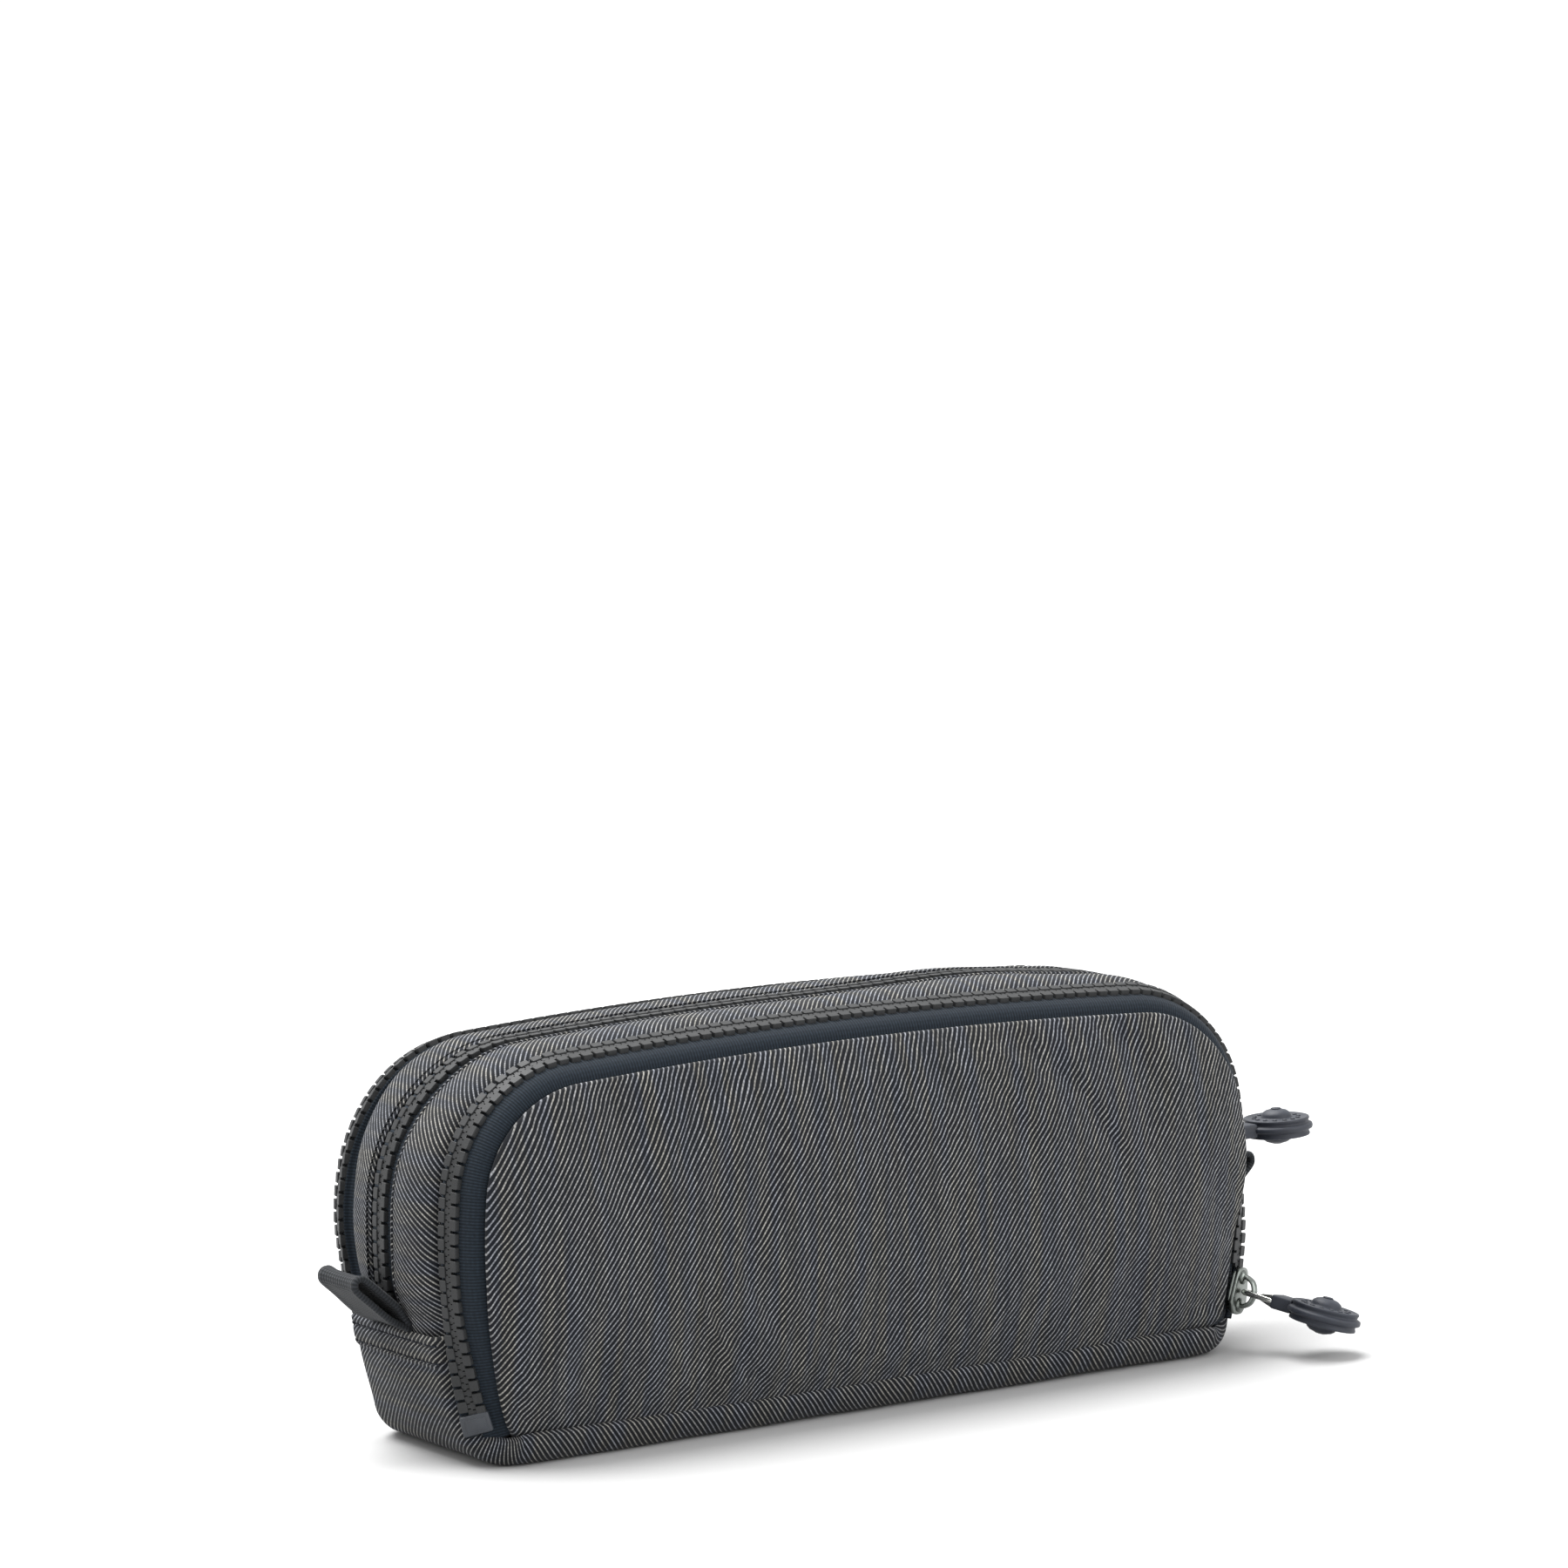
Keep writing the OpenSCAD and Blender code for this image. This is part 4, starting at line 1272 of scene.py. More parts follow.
@dataclass
class Panel:
    """A cover: the padded denim panel, its lining, and the outer zip's tape and teeth."""

    side: Side
    zips: Zips
    foot_y: float = 33.5
    edge_d: float = 10.2
    edge_e: float = 1.7
    right_cover: float = 1.5
    left_foot_d: float = 7.2
    right_foot_d: float = 6.0
    bulge: float = 4.8
    denim_t: float = 1.4
    lining_t: float = 0.6
    tape_t: float = 0.6
    spacing: float = 2.6
    # Rolled edge beside the tape, as steps across the zip and down to it
    roll: tuple = ((-0.55, -0.2), (-0.85, -0.65), (-0.8, -1.15), (-0.2, -1.35))
    # Bottom edge, tucked behind the base: steps inwards and down
    tuck: tuple = ((0.2, -0.5), (0.8, -1.1), (1.7, -1.5), (2.7, -1.7))
    sheet: dict = field(default_factory=dict)

    def outline(self) -> tuple[np.ndarray, list[np.ndarray]]:
        """The panel's edge for the front side and the rings of its rolled rim.

        Returns:
            The edge in millimetres, along the arch and back along the foot, and the
            rings outside it, each shaped the same.
        """
        arch = self.zips.arch
        s = np.linspace(0, arch.length, int(arch.length / self.spacing))
        pos, _ = arch.line(s)
        cover = self.right_cover * np.exp(-(((pos[:, 1] - 50.0) / 22.0) ** 2)) * smooth(pos[:, 0] / 60.0)
        left = (self.edge_d - self.left_foot_d) * (1 - smooth((pos[:, 1] - 10.0) / 34.0)) * (pos[:, 0] < 0)
        right = (self.edge_d - self.right_foot_d) * (1 - smooth((pos[:, 1] - 24.0) / 40.0)) * (pos[:, 0] > 0)
        edge = self.edge_d - np.maximum(cover, left + right)
        arch_edge = arch.zip_point(Side.FRONT, s, edge, self.edge_e + 0.5 * cover) / MM
        left, right = arch_edge[0], arch_edge[-1]
        count = int((right[0] - left[0]) / self.spacing)
        u = np.linspace(1, -1, count + 1)[1:-1]
        x = u * right[0]
        y = right[1] - (self.foot_y + right[1]) * (1 - u**4)
        foot_edge = np.column_stack([x, y, np.full_like(x, arch.foot_z)])
        rings = []
        for (d, e), (inwards, down) in zip(self.roll, self.tuck):
            along = arch.zip_point(Side.FRONT, s, edge + d, self.edge_e + 0.5 * cover + e) / MM
            rings.append(np.vstack([along, foot_edge + np.array([0.0, inwards, down])]))
        return np.vstack([arch_edge, foot_edge]), rings

    def make_sheet(self) -> None:
        """Lays a mesh inside the edge, spans it like a membrane and swells it as cloth."""
        edge, rings = self.outline()
        flat_edge = edge[:, [0, 2]]
        closed = np.vstack([flat_edge, flat_edge[:1]])
        step = self.spacing
        xs = np.arange(closed[:, 0].min(), closed[:, 0].max(), step)
        zs = np.arange(closed[:, 1].min(), closed[:, 1].max(), step * 0.866)
        inside = []
        for row, z in enumerate(zs):
            for x in xs + (step / 2 if row % 2 else 0):
                p = np.array([x, z])
                a, b = closed[:-1], closed[1:]
                t = np.clip(((p - a) * (b - a)).sum(1) / ((b - a) ** 2).sum(1), 0, 1)
                near = np.linalg.norm(a + (b - a) * t[:, None] - p, axis=1).min()
                crossing = (a[:, 1] > z) != (b[:, 1] > z)
                hit = a[:, 0] + (z - a[:, 1]) * (b[:, 0] - a[:, 0]) / np.where(
                    crossing, b[:, 1] - a[:, 1], 1.0,
                )
                if near > 0.6 * step and (crossing & (x < hit)).sum() % 2:
                    inside.append(p)
        count = len(edge)
        points = [Vector(p) for p in np.vstack([flat_edge, inside])]
        borders = [(i, (i + 1) % count) for i in range(count)]
        verts, _, faces, *_ = delaunay_2d_cdt(points, borders, [], 1, 1e-6)
        flat = np.array([tuple(v) for v in verts])
        tris = np.array([f if len(f) == 3 else f[:3] for f in faces])
        y = self.membrane(flat, tris, edge[:, 1])
        sheet = np.column_stack([flat[:, 0], y, flat[:, 1]])
        sheet = self.swell(sheet, tris, count)
        self.sheet = {"edge": count, "points": sheet, "tris": tris, "rings": rings}

    def membrane(self, flat: np.ndarray, tris: np.ndarray, edge_y: np.ndarray) -> np.ndarray:
        """Depth of a membrane held at its edge and pushed out evenly.

        Args:
            flat: Points of the sheet in X and Z, the edge's first.
            tris: Its triangles.
            edge_y: Depth at the edge.

        Returns:
            The depth at each point.
        """
        pairs = np.unique(
            np.sort(np.vstack([tris[:, [0, 1]], tris[:, [1, 2]], tris[:, [2, 0]]]), axis=1), axis=0,
        )
        a, b = pairs.T
        weight = np.bincount(np.concatenate([a, b]), minlength=len(flat))

        def relax(held: np.ndarray, push: float) -> np.ndarray:
            y = np.full(len(flat), held.mean())
            y[: len(held)] = held
            for _ in range(1500):
                total = np.bincount(a, y[b], len(flat)) + np.bincount(b, y[a], len(flat))
                y = total / weight + push
                y[: len(held)] = held
            return y

        rest = relax(edge_y, 0.0)
        lift = relax(np.zeros_like(edge_y), 1.0)
        # A padded panel is flatter in the middle than a membrane
        share = 1 - (1 - lift / lift.max()) ** 2.6
        return rest - self.bulge * share

    def swell(self, sheet: np.ndarray, tris: np.ndarray, held: int) -> np.ndarray:
        """Runs a short cloth simulation with pressure on the sheet.

        Args:
            sheet: Points in millimetres, the held edge's first.
            tris: Its triangles.
            held: How many points are held.

        Returns:
            The points after it, none moved further than the cap.
        """
        cap, frames = 2.2, 18
        obj = new_object("panel_cloth_run", sheet * MM, tris.tolist())
        mean = sum((p.normal for p in obj.data.polygons), Vector())
        if mean.y > 0:
            obj.data.flip_normals()
        obj.vertex_groups.new(name="held").add(list(range(held)), 1.0, "REPLACE")
        cloth = obj.modifiers.new("cloth", "CLOTH")
        cloth.settings.quality = 6
        cloth.settings.mass = 0.2
        cloth.settings.vertex_group_mass = "held"
        cloth.settings.tension_stiffness = 20
        cloth.settings.compression_stiffness = 20
        cloth.settings.bending_stiffness = 0.6
        cloth.settings.shrink_min = -0.012
        cloth.settings.use_pressure = True
        cloth.settings.uniform_pressure_force = 3.0
        cloth.settings.effector_weights.gravity = 0
        cloth.point_cache.frame_start, cloth.point_cache.frame_end = 1, frames
        scene = bpy.context.scene
        for frame in range(1, frames + 1):
            scene.frame_set(frame)
        graph = bpy.context.evaluated_depsgraph_get()
        moved = obj.evaluated_get(graph).to_mesh()
        after = np.array([tuple(v.co) for v in moved.vertices]) / MM
        obj.evaluated_get(graph).to_mesh_clear()
        bpy.data.objects.remove(obj)
        scene.frame_set(1)
        shift = after - sheet
        size = np.linalg.norm(shift, axis=1, keepdims=True)
        LOG.info("the panel's cloth moved by up to %.2f mm", size.max())
        return sheet + shift * np.minimum(1.0, cap / np.maximum(size, 1e-9))

    def closed_sheet(
        self, name: str, points: np.ndarray, rings: list[np.ndarray], back: float,
    ) -> bpy.types.Object:
        """Closes the sheet with its rolled rim and a back.

        Args:
            name: The piece's name.
            points: The outer sheet in millimetres, for the front side.
            rings: Rings of the rim, outwards from the edge.
            back: How far the back lies behind the sheet.

        Returns:
            The piece on this side of the case.
        """
        count, tris = self.sheet["edge"], self.sheet["tris"]
        behind = points + np.array([0.0, back, 0.0])
        verts = np.vstack([points] + rings + [behind])
        faces = tris.tolist()
        total = len(points)
        loops = [np.arange(count)] + [total + k * count + np.arange(count) for k in range(len(rings))]
        loops.append(total + len(rings) * count + np.arange(count))
        turn = np.roll(np.arange(count), -1)
        for a, b in zip(loops[:-1], loops[1:]):
            faces += np.stack([a, a[turn], b[turn], b], -1).tolist()
        faces += (tris[:, ::-1] + loops[-1][0]).tolist()
        hand = -self.side.value
        x, z = verts[:, 0], verts[:, 2]
        # The cloth is eased into the top seam, which turns its twill lines upright there
        eased = z - 4.0 * np.clip((z - 64.0) / 24.0, 0, 1.3) ** 2
        uv = np.column_stack([x * hand, eased]) * MM
        out = self.zips.arch.puff(self.side, x, z) * np.sign(x) * (x / self.zips.arch.half_foot) ** 2
        verts = np.column_stack([x + out, verts[:, 1] * hand, z]) * MM
        return new_object(name, verts, faces, uv)

    def build(self) -> None:
        """Makes the cover's pieces and hides the CAD nodes that they stand for."""
        if not self.sheet:
            self.make_sheet()
        z, arch, word = self.zips, self.zips.arch, self.side.word
        look = z.finishes
        points, rings = self.sheet["points"], self.sheet["rings"]
        panel = self.closed_sheet(f"{word}_panel_padded_denim", points, rings, self.denim_t)
        dress(panel, look.denim)
        self.blend(panel)
        self.finish(panel, "denim", f"{word}_panel")
        centre = np.array([0.0, 0.0, arch.wide_z])
        inner = (points - centre) * np.array([0.975, 1.0, 0.97]) + centre + np.array(
            [0.0, self.denim_t + 0.3, 0.0]
        )
        lining = self.closed_sheet(f"{word}_panel_lining_cloth", inner, [], self.lining_t)
        dress(lining, look.lining)
        self.blend(lining)
        self.finish(lining, "lining", f"{word}_panel_lining")
        lobe = 3.2
        s = np.linspace(-lobe, arch.length + lobe, int(arch.length / 1.3))[:, None]
        section = spline(
            ((0.7, 0.0), (3.2, 0.0), (4.6, 0.15), (6.4, 0.25), (8.4, 0.1), (10.4, -0.3), (12.2, -0.6)), 22,
        )
        past = np.maximum(0, np.maximum(-s, s - arch.length)) / (1.12 * lobe)
        d = 0.7 + (section[:, 0][None, :] - 0.7) * np.sqrt(1 - past**2)
        e = section[:, 1][None, :] - 0.8 * past
        grid = arch.zip_point(self.side, s, d, e)
        uv = np.stack(np.broadcast_arrays(s, d), -1) * MM
        tape = dress(
            cloth_shell(f"{word}_zip_outer_tape_cloth", grid, self.tape_t, uv, Vector((0, 0, 0.04))),
            look.tape,
        )
        self.blend(tape)
        self.finish(tape, "zip_tape", f"{word}_zip_outer_tape")
        teeth = z.row(
            f"{word}_zip_outer_teeth_row", arch.at_height(z.chain_foot), arch.at_height(16.5, True),
            lambda t: arch.zip_point(self.side, t, 0.0, 0.0),
            lambda t: arch.zip_face(self.side, t), self.side is Side.FRONT,
        )
        self.blend(teeth)
        self.finish(teeth, "zip_teeth", f"{word}_zip_outer_teeth")

    def blend(self, obj: bpy.types.Object) -> None:
        """Bakes a piece's placing into its mesh."""
        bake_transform(obj)

    def finish(self, obj: bpy.types.Object, slot: str, node: str) -> None:
        """Hides the CAD node that a piece stands for and logs it."""
        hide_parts(node)
        LOG.info("%s stands for %s", obj.name, node)


# ---- Dividers ----


@dataclass
class Divider:
    """A sheet of lining between two compartments, sewn in along the arch and the base."""

    side: Side
    zips: Zips
    thick: float = 0.8
    foot: tuple[float, float] = (12.0, 2.6)
    top_y: float = 7.0
    inset: float = 0.6

    def build(self) -> None:
        """Makes the sheet as a grid between the base and the arch."""
        arch, word = self.zips.arch, self.side.word
        s = np.linspace(0, arch.length, 150)
        pos, nrm = arch.line(s)
        rim = pos - nrm * self.inset
        low_x = np.linspace(-1, 1, len(s)) * (arch.half_foot - 6.0)
        low = np.column_stack([low_x, np.full_like(low_x, self.foot[1])])
        t = np.linspace(0, 1, 26)[None, :, None]
        flat = low[:, None] * (1 - t) + rim[:, None] * t
        share = (flat[..., 1] - self.foot[1]) / (arch.height - self.foot[1])
        y = self.foot[0] + (self.top_y - self.foot[0]) * share
        grid = np.stack([flat[..., 0], self.side.value * y, flat[..., 1]], -1) * MM
        hold = np.sin(np.pi * t[..., 0])
        grid[..., 1] += 0.9 * MM * hold * waver(grid, 26.0, 9.0 + self.side.value)
        uv = flat * MM
        sheet = dress(
            cloth_shell(f"{word}_divider_cloth", grid, self.thick, uv, Vector((0, 0, 0.04))),
            self.zips.finishes.lining,
        )
        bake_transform(sheet)
        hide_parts(f"{word}_divider")
        LOG.info("%s stands for %s_divider", sheet.name, word)


# ---- The base and its hems ----


@dataclass
class Base:
    """The denim base: one length of cloth from hem to hem, rolled up at the long sides."""

    zips: Zips
    denim_t: float = 1.4
    lining_t: float = 0.6
    out: float = 3.6
    corner_r: float = 12.0
    end_half: float = 19.2
    end_roll: float = 3.1
    foot_y: float = 33.5
    roll_r: float = 8.0
    roll_top: float = 7.0
    rope_r: float = 1.1
    hem_fold: float = 6.6
    rows_below: tuple[float, float] = (2.0, 6.0)
    fine: float = 0.5
    coarse: float = 1.3

    def path(self) -> dict[str, np.ndarray]:
        """The cloth's middle line from the left hem round the bottom to the right hem.

        Returns:
            Points, outward normals, distances along, and how far each point is into
            the rolled bottom, from 0 on the ends to 1.
        """
        arch = self.zips.arch
        centre_z = self.corner_r
        z_join = centre_z - self.corner_r * (arch.wide_z - centre_z) / arch.side_r
        hem = self.zips.hem_z
        near_hem = np.arange(hem, hem - self.hem_fold - 1.5, -self.fine)
        lower = np.arange(near_hem[-1] - self.coarse, z_join, -self.coarse)
        z = np.concatenate([near_hem, lower, [z_join]])
        pos, nrm = arch.line(np.array([arch.at_height(h) for h in np.maximum(z, arch.foot_z)]))
        pos = pos + nrm * self.out
        last, dirn = pos[-1], nrm[-1]
        a0 = math.atan2(-dirn[1], -dirn[0])
        c = last - dirn * self.corner_r
        turn = np.linspace(a0, math.pi / 2, 16)[1:]
        corner_n = np.column_stack([-np.cos(turn), -np.sin(turn)])
        corner = c + corner_n * self.corner_r
        shift = corner[-1, 1]
        corner[:, 1] -= shift * np.linspace(0, 1, len(turn))
        run = np.arange(corner[-1, 0] + self.coarse, 0.0, self.coarse)
        bottom = np.column_stack([run, np.zeros_like(run)])
        half = np.vstack([pos, corner, bottom])
        half_n = np.vstack([nrm, corner_n, np.tile([0.0, -1.0], (len(run), 1))])
        flip = np.array([-1.0, 1.0])
        pts = np.vstack([half, [[0.0, 0.0]], (half * flip)[::-1]])
        nrms = np.vstack([half_n, [[0.0, -1.0]], (half_n * flip)[::-1]])
        dist = np.concatenate([[0], np.cumsum(np.linalg.norm(np.diff(pts, axis=0), axis=1))])
        begin = np.interp(16.0, pos[::-1, 1], dist[: len(pos)][::-1])
        finish = dist[len(pos) + len(turn) - 1] + 5.0
        into = smooth((np.minimum(dist, dist[-1] - dist) - begin) / (finish - begin))
        return {"pts": pts, "nrm": nrms, "dist": dist, "into": into}

    def sections(self, count: int = 26) -> tuple[np.ndarray, np.ndarray]:
        """Half sections of an end and of the bottom: distance from the middle plane and depth."""
        quarter = np.linspace(0, math.pi / 2, 9)[1:]
        end = [(0.0, 0.0), (self.end_half, 0.0)]
        end += [
            (self.end_half + self.end_roll * math.sin(a), self.end_roll * (1 - math.cos(a))) for a in quarter
        ]
        end.append((self.end_half + self.end_roll, self.end_roll + 1.2))
        flat = self.foot_y - self.roll_r
        top = math.acos(1 - self.roll_top / self.roll_r)
        bottom = [(0.0, 0.0), (flat, 0.0)]
        bottom += [
            (
                flat + self.roll_r * math.sin(a), self.roll_r * (1 - math.cos(a)),
            ) for a in np.linspace(0, top, 12)[1:]
        ]
        y0, m0 = bottom[-1]
        bottom += [
            (
                y0 - self.rope_r * (1 - math.cos(a)), m0 + self.rope_r * math.sin(a),
            ) for a in np.linspace(0, 2.6, 8)[1:]
        ]
        result = []
        for points in (end, bottom):
            p = np.array(points)
            run = np.concatenate([[0], np.cumsum(np.linalg.norm(np.diff(p, axis=0), axis=1))])
            even = np.linspace(0, 1, count) ** 0.8 * run[-1]
            result.append(np.column_stack([np.interp(even, run, p[:, 0]), np.interp(even, run, p[:, 1])]))
        return result[0], result[1]

    def grid(self, inset: float, wobble: float) -> tuple[np.ndarray, np.ndarray]:
        """The base's surface, some way inside its outer face.

        Args:
            inset: How far inside, in millimetres.
            wobble: Height of its unevenness.

        Returns:
            The grid in metres and its cloth coordinates.
        """
        way = self.path()
        end, bottom = self.sections()
        b = way["into"][:, None]
        y = (1 - b) * end[:, 0] + b * bottom[:, 0]
        m = (1 - b) * end[:, 1] + b * bottom[:, 1]
        z = way["pts"][:, 1][:, None]
        crown = np.cos(np.pi / 2 * np.clip(y / 22.0, 0, 1))
        m = m - (1 - b) * 1.3 * crown * smooth((z - 4) / 8) * smooth((26 - z) / 6)
        from_hem = self.zips.hem_z - z
        fold = (1 - b) * (1 - smooth((from_hem - self.hem_fold) / 0.8))
        m = m - 0.9 * fold * smooth(from_hem / 0.7 + 0.4)
        for row in self.rows_below:
            m = m + (1 - b) * 0.45 * np.exp(-(((from_hem - row) / 0.55) ** 2))
        y = np.hstack([-y[:, :0:-1], y])
        m = np.hstack([m[:, :0:-1], m])
        run = np.hypot(np.diff(y, axis=1), np.diff(m, axis=1))
        run = np.hstack([np.zeros((len(y), 1)), np.cumsum(run, axis=1)])
        run = run - run[:, [run.shape[1] // 2]]
        narrow = (np.abs(y) - inset * smooth((m - 1.0) / 3.0)) * np.sign(y)
        depth = m + inset * (1 - 0.6 * smooth((m - 1.0) / 4.0))
        pts, nrm = way["pts"][:, None], way["nrm"][:, None]
        p = pts - nrm * depth[..., None]
        grid = np.stack([p[..., 0], narrow, p[..., 1]], -1) * MM
        if wobble:
            shift = wobble * waver(grid, 19.0, 5.0)
            lift = pts - nrm * (depth + shift)[..., None]
            grid = np.stack([lift[..., 0], narrow, np.maximum(lift[..., 1], inset)], -1) * MM
        uv = np.stack(np.broadcast_arrays(way["dist"][:, None], run), -1) * MM
        return grid, uv

    def build(self) -> None:
        """Makes the base, its lining and its hems' stitches."""
        look = self.zips.finishes
        core = Vector((0, 0, 0.04))
        grid, uv = self.grid(0.0, 0.35)
        base = dress(cloth_shell("base_denim", grid, self.denim_t, uv, core), look.denim)
        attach(base, "base")
        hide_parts("base_panel")
        inner, uv_in = self.grid(1.7, 0.0)
        rows = slice(3, -3)
        lining = dress(
            cloth_shell("base_lining_cloth", inner[rows, 3:-3], self.lining_t, uv_in[rows, 3:-3], core),
            look.lining,
        )
        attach(lining, "base")
        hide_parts("base_lining")
        LOG.info("%s and %s stand for the base", base.name, lining.name)
        self.stitches(grid)

    def stitches(
        self, grid: np.ndarray, pitch: float = 2.7, length: float = 2.2, thick: float = 0.42,
    ) -> None:
        """Two rows of stitches across each hem.

        Args:
            grid: The base's outer surface.
            pitch: Distance between stitches.
            length: Length of a stitch.
            thick: Thickness of its thread.
        """
        look = self.zips.finishes
        path = np.column_stack(
            [np.zeros(5), np.linspace(-length / 2, length / 2, 5), 0.12 * np.cos(np.linspace(-1.5, 1.5, 5))]
        )
        stitch = tube("stitch_prototype", path, thick / 2, 7, up=Vector((0, 0, 1)))
        stitch.hide_render = True
        middle = grid.shape[1] // 2
        for word, flip in (("left", 1), ("right", -1)):
            rows = []
            for below in self.rows_below:
                heights = grid[:, middle, 2] / MM
                half = np.arange(len(heights) // 2) if flip > 0 else np.arange(
                    len(heights) - 1, len(heights) // 2, -1,
                )
                row = half[np.argmin(np.abs(self.zips.hem_z - below - heights[half]))]
                line = grid[row]
                keep = np.abs(line[:, 1]) < (self.end_half + 1.5) * MM
                face = unit(np.cross(np.gradient(grid, axis=0), np.gradient(grid, axis=1))[row])
                face = face * np.sign(face[:, :1] * -flip)
                line = line[keep] + face[keep] * 0.1 * MM
                count = int(np.ptp(line[:, 1]) / MM / pitch)
                rows.append(
                    self.zips.repeater.along(
                        f"{word}_hem_row_{int(below)}", line, face[keep], count, stitch, look.thread, 0.08,
                    )
                )
            piece = dress(joined(f"{word}_hem_stitches", rows), look.thread)
            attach(piece, "base")


@dataclass
class WebbingLoop:
    """A doubled length of webbing caught in the hem at one end."""

    left: bool
    zips: Zips
    width: float = 18.0
    thick: float = 1.5
    reach: float = 19.5
    rise: float = 44.0
    gap: float = 1.95

    def build(self) -> None:
        """Bends the webbing out of the hem, round its nose and back."""
        arch = self.zips.arch
        word = "left" if self.left else "right"
        pos, nrm = arch.line(np.array([arch.at_height(self.zips.hem_z)]))
        foot = pos[0] + nrm[0] * 2.6
        a = np.array([-math.cos(math.radians(self.rise)), math.sin(math.radians(self.rise))])
        b = np.array([-a[1] * -1.0, -a[0]])
        g, nose = self.gap, self.reach - self.gap
        lower = [foot + np.array([0.6, -4.0]), foot + np.array([0.2, -1.0]), foot + a * 2.0 - b * 0.9]
        lower += [foot + a * t - b * g * k for t, k in ((6.0, 0.95), (nose * 0.75, 1.0), (nose, 1.0))]
        tip = [
            foot + a * (nose + g * 0.75) - b * g * 0.6, foot + a * (nose + g),
            foot + a * (nose + g * 0.75) + b * g * 0.6,
        ]
        upper = [foot + a * t + b * g * k for t, k in ((nose, 1.0), (nose * 0.7, 1.1), (6.5, 1.05))]
        upper += [foot + a * 2.5 + b * 0.9, foot + np.array([2.2, -0.6]), foot + np.array([2.4, -4.0])]
        line = spline([tuple(p) for p in lower + tip + upper], 84)
        w = np.linspace(-0.5, 0.5, 15) * self.width
        curl = 0.5 * (2 * w / self.width) ** 4
        tangent = unit(np.gradient(line, axis=0))
        normal = np.column_stack([tangent[:, 1], -tangent[:, 0]])
        flat = line[:, None] - normal[:, None] * curl[None, :, None]
        y = np.broadcast_to(w[None, :], flat.shape[:2])
        sign = 1.0 if self.left else -1.0
        grid = np.stack([sign * flat[..., 0], y, flat[..., 1]], -1) * MM
        grid[..., 2] += 0.35 * MM * waver(grid, 11.0, 2.0)
        run = np.concatenate([[0], np.cumsum(np.linalg.norm(np.diff(line, axis=0), axis=1))])
        uv = np.stack(np.broadcast_arrays(run[:, None], w[None, :]), -1) * MM
        middle = foot + a * nose * 0.6
        core = Vector((sign * middle[0] * MM, 0, middle[1] * MM))
        loop = dress(
            cloth_shell(f"{word}_webbing_loop", grid, self.thick, uv, core), self.zips.finishes.webbing,
        )
        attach(loop, "base")
        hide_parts(f"{word}_loop")
        LOG.info("%s stands for %s_loop", loop.name, word)


# ---- Sliders and pulls ----


class Which(Enum):
    """The three sliders."""

    FRONT = "front"
    MIDDLE = "middle"
    REAR = "rear"


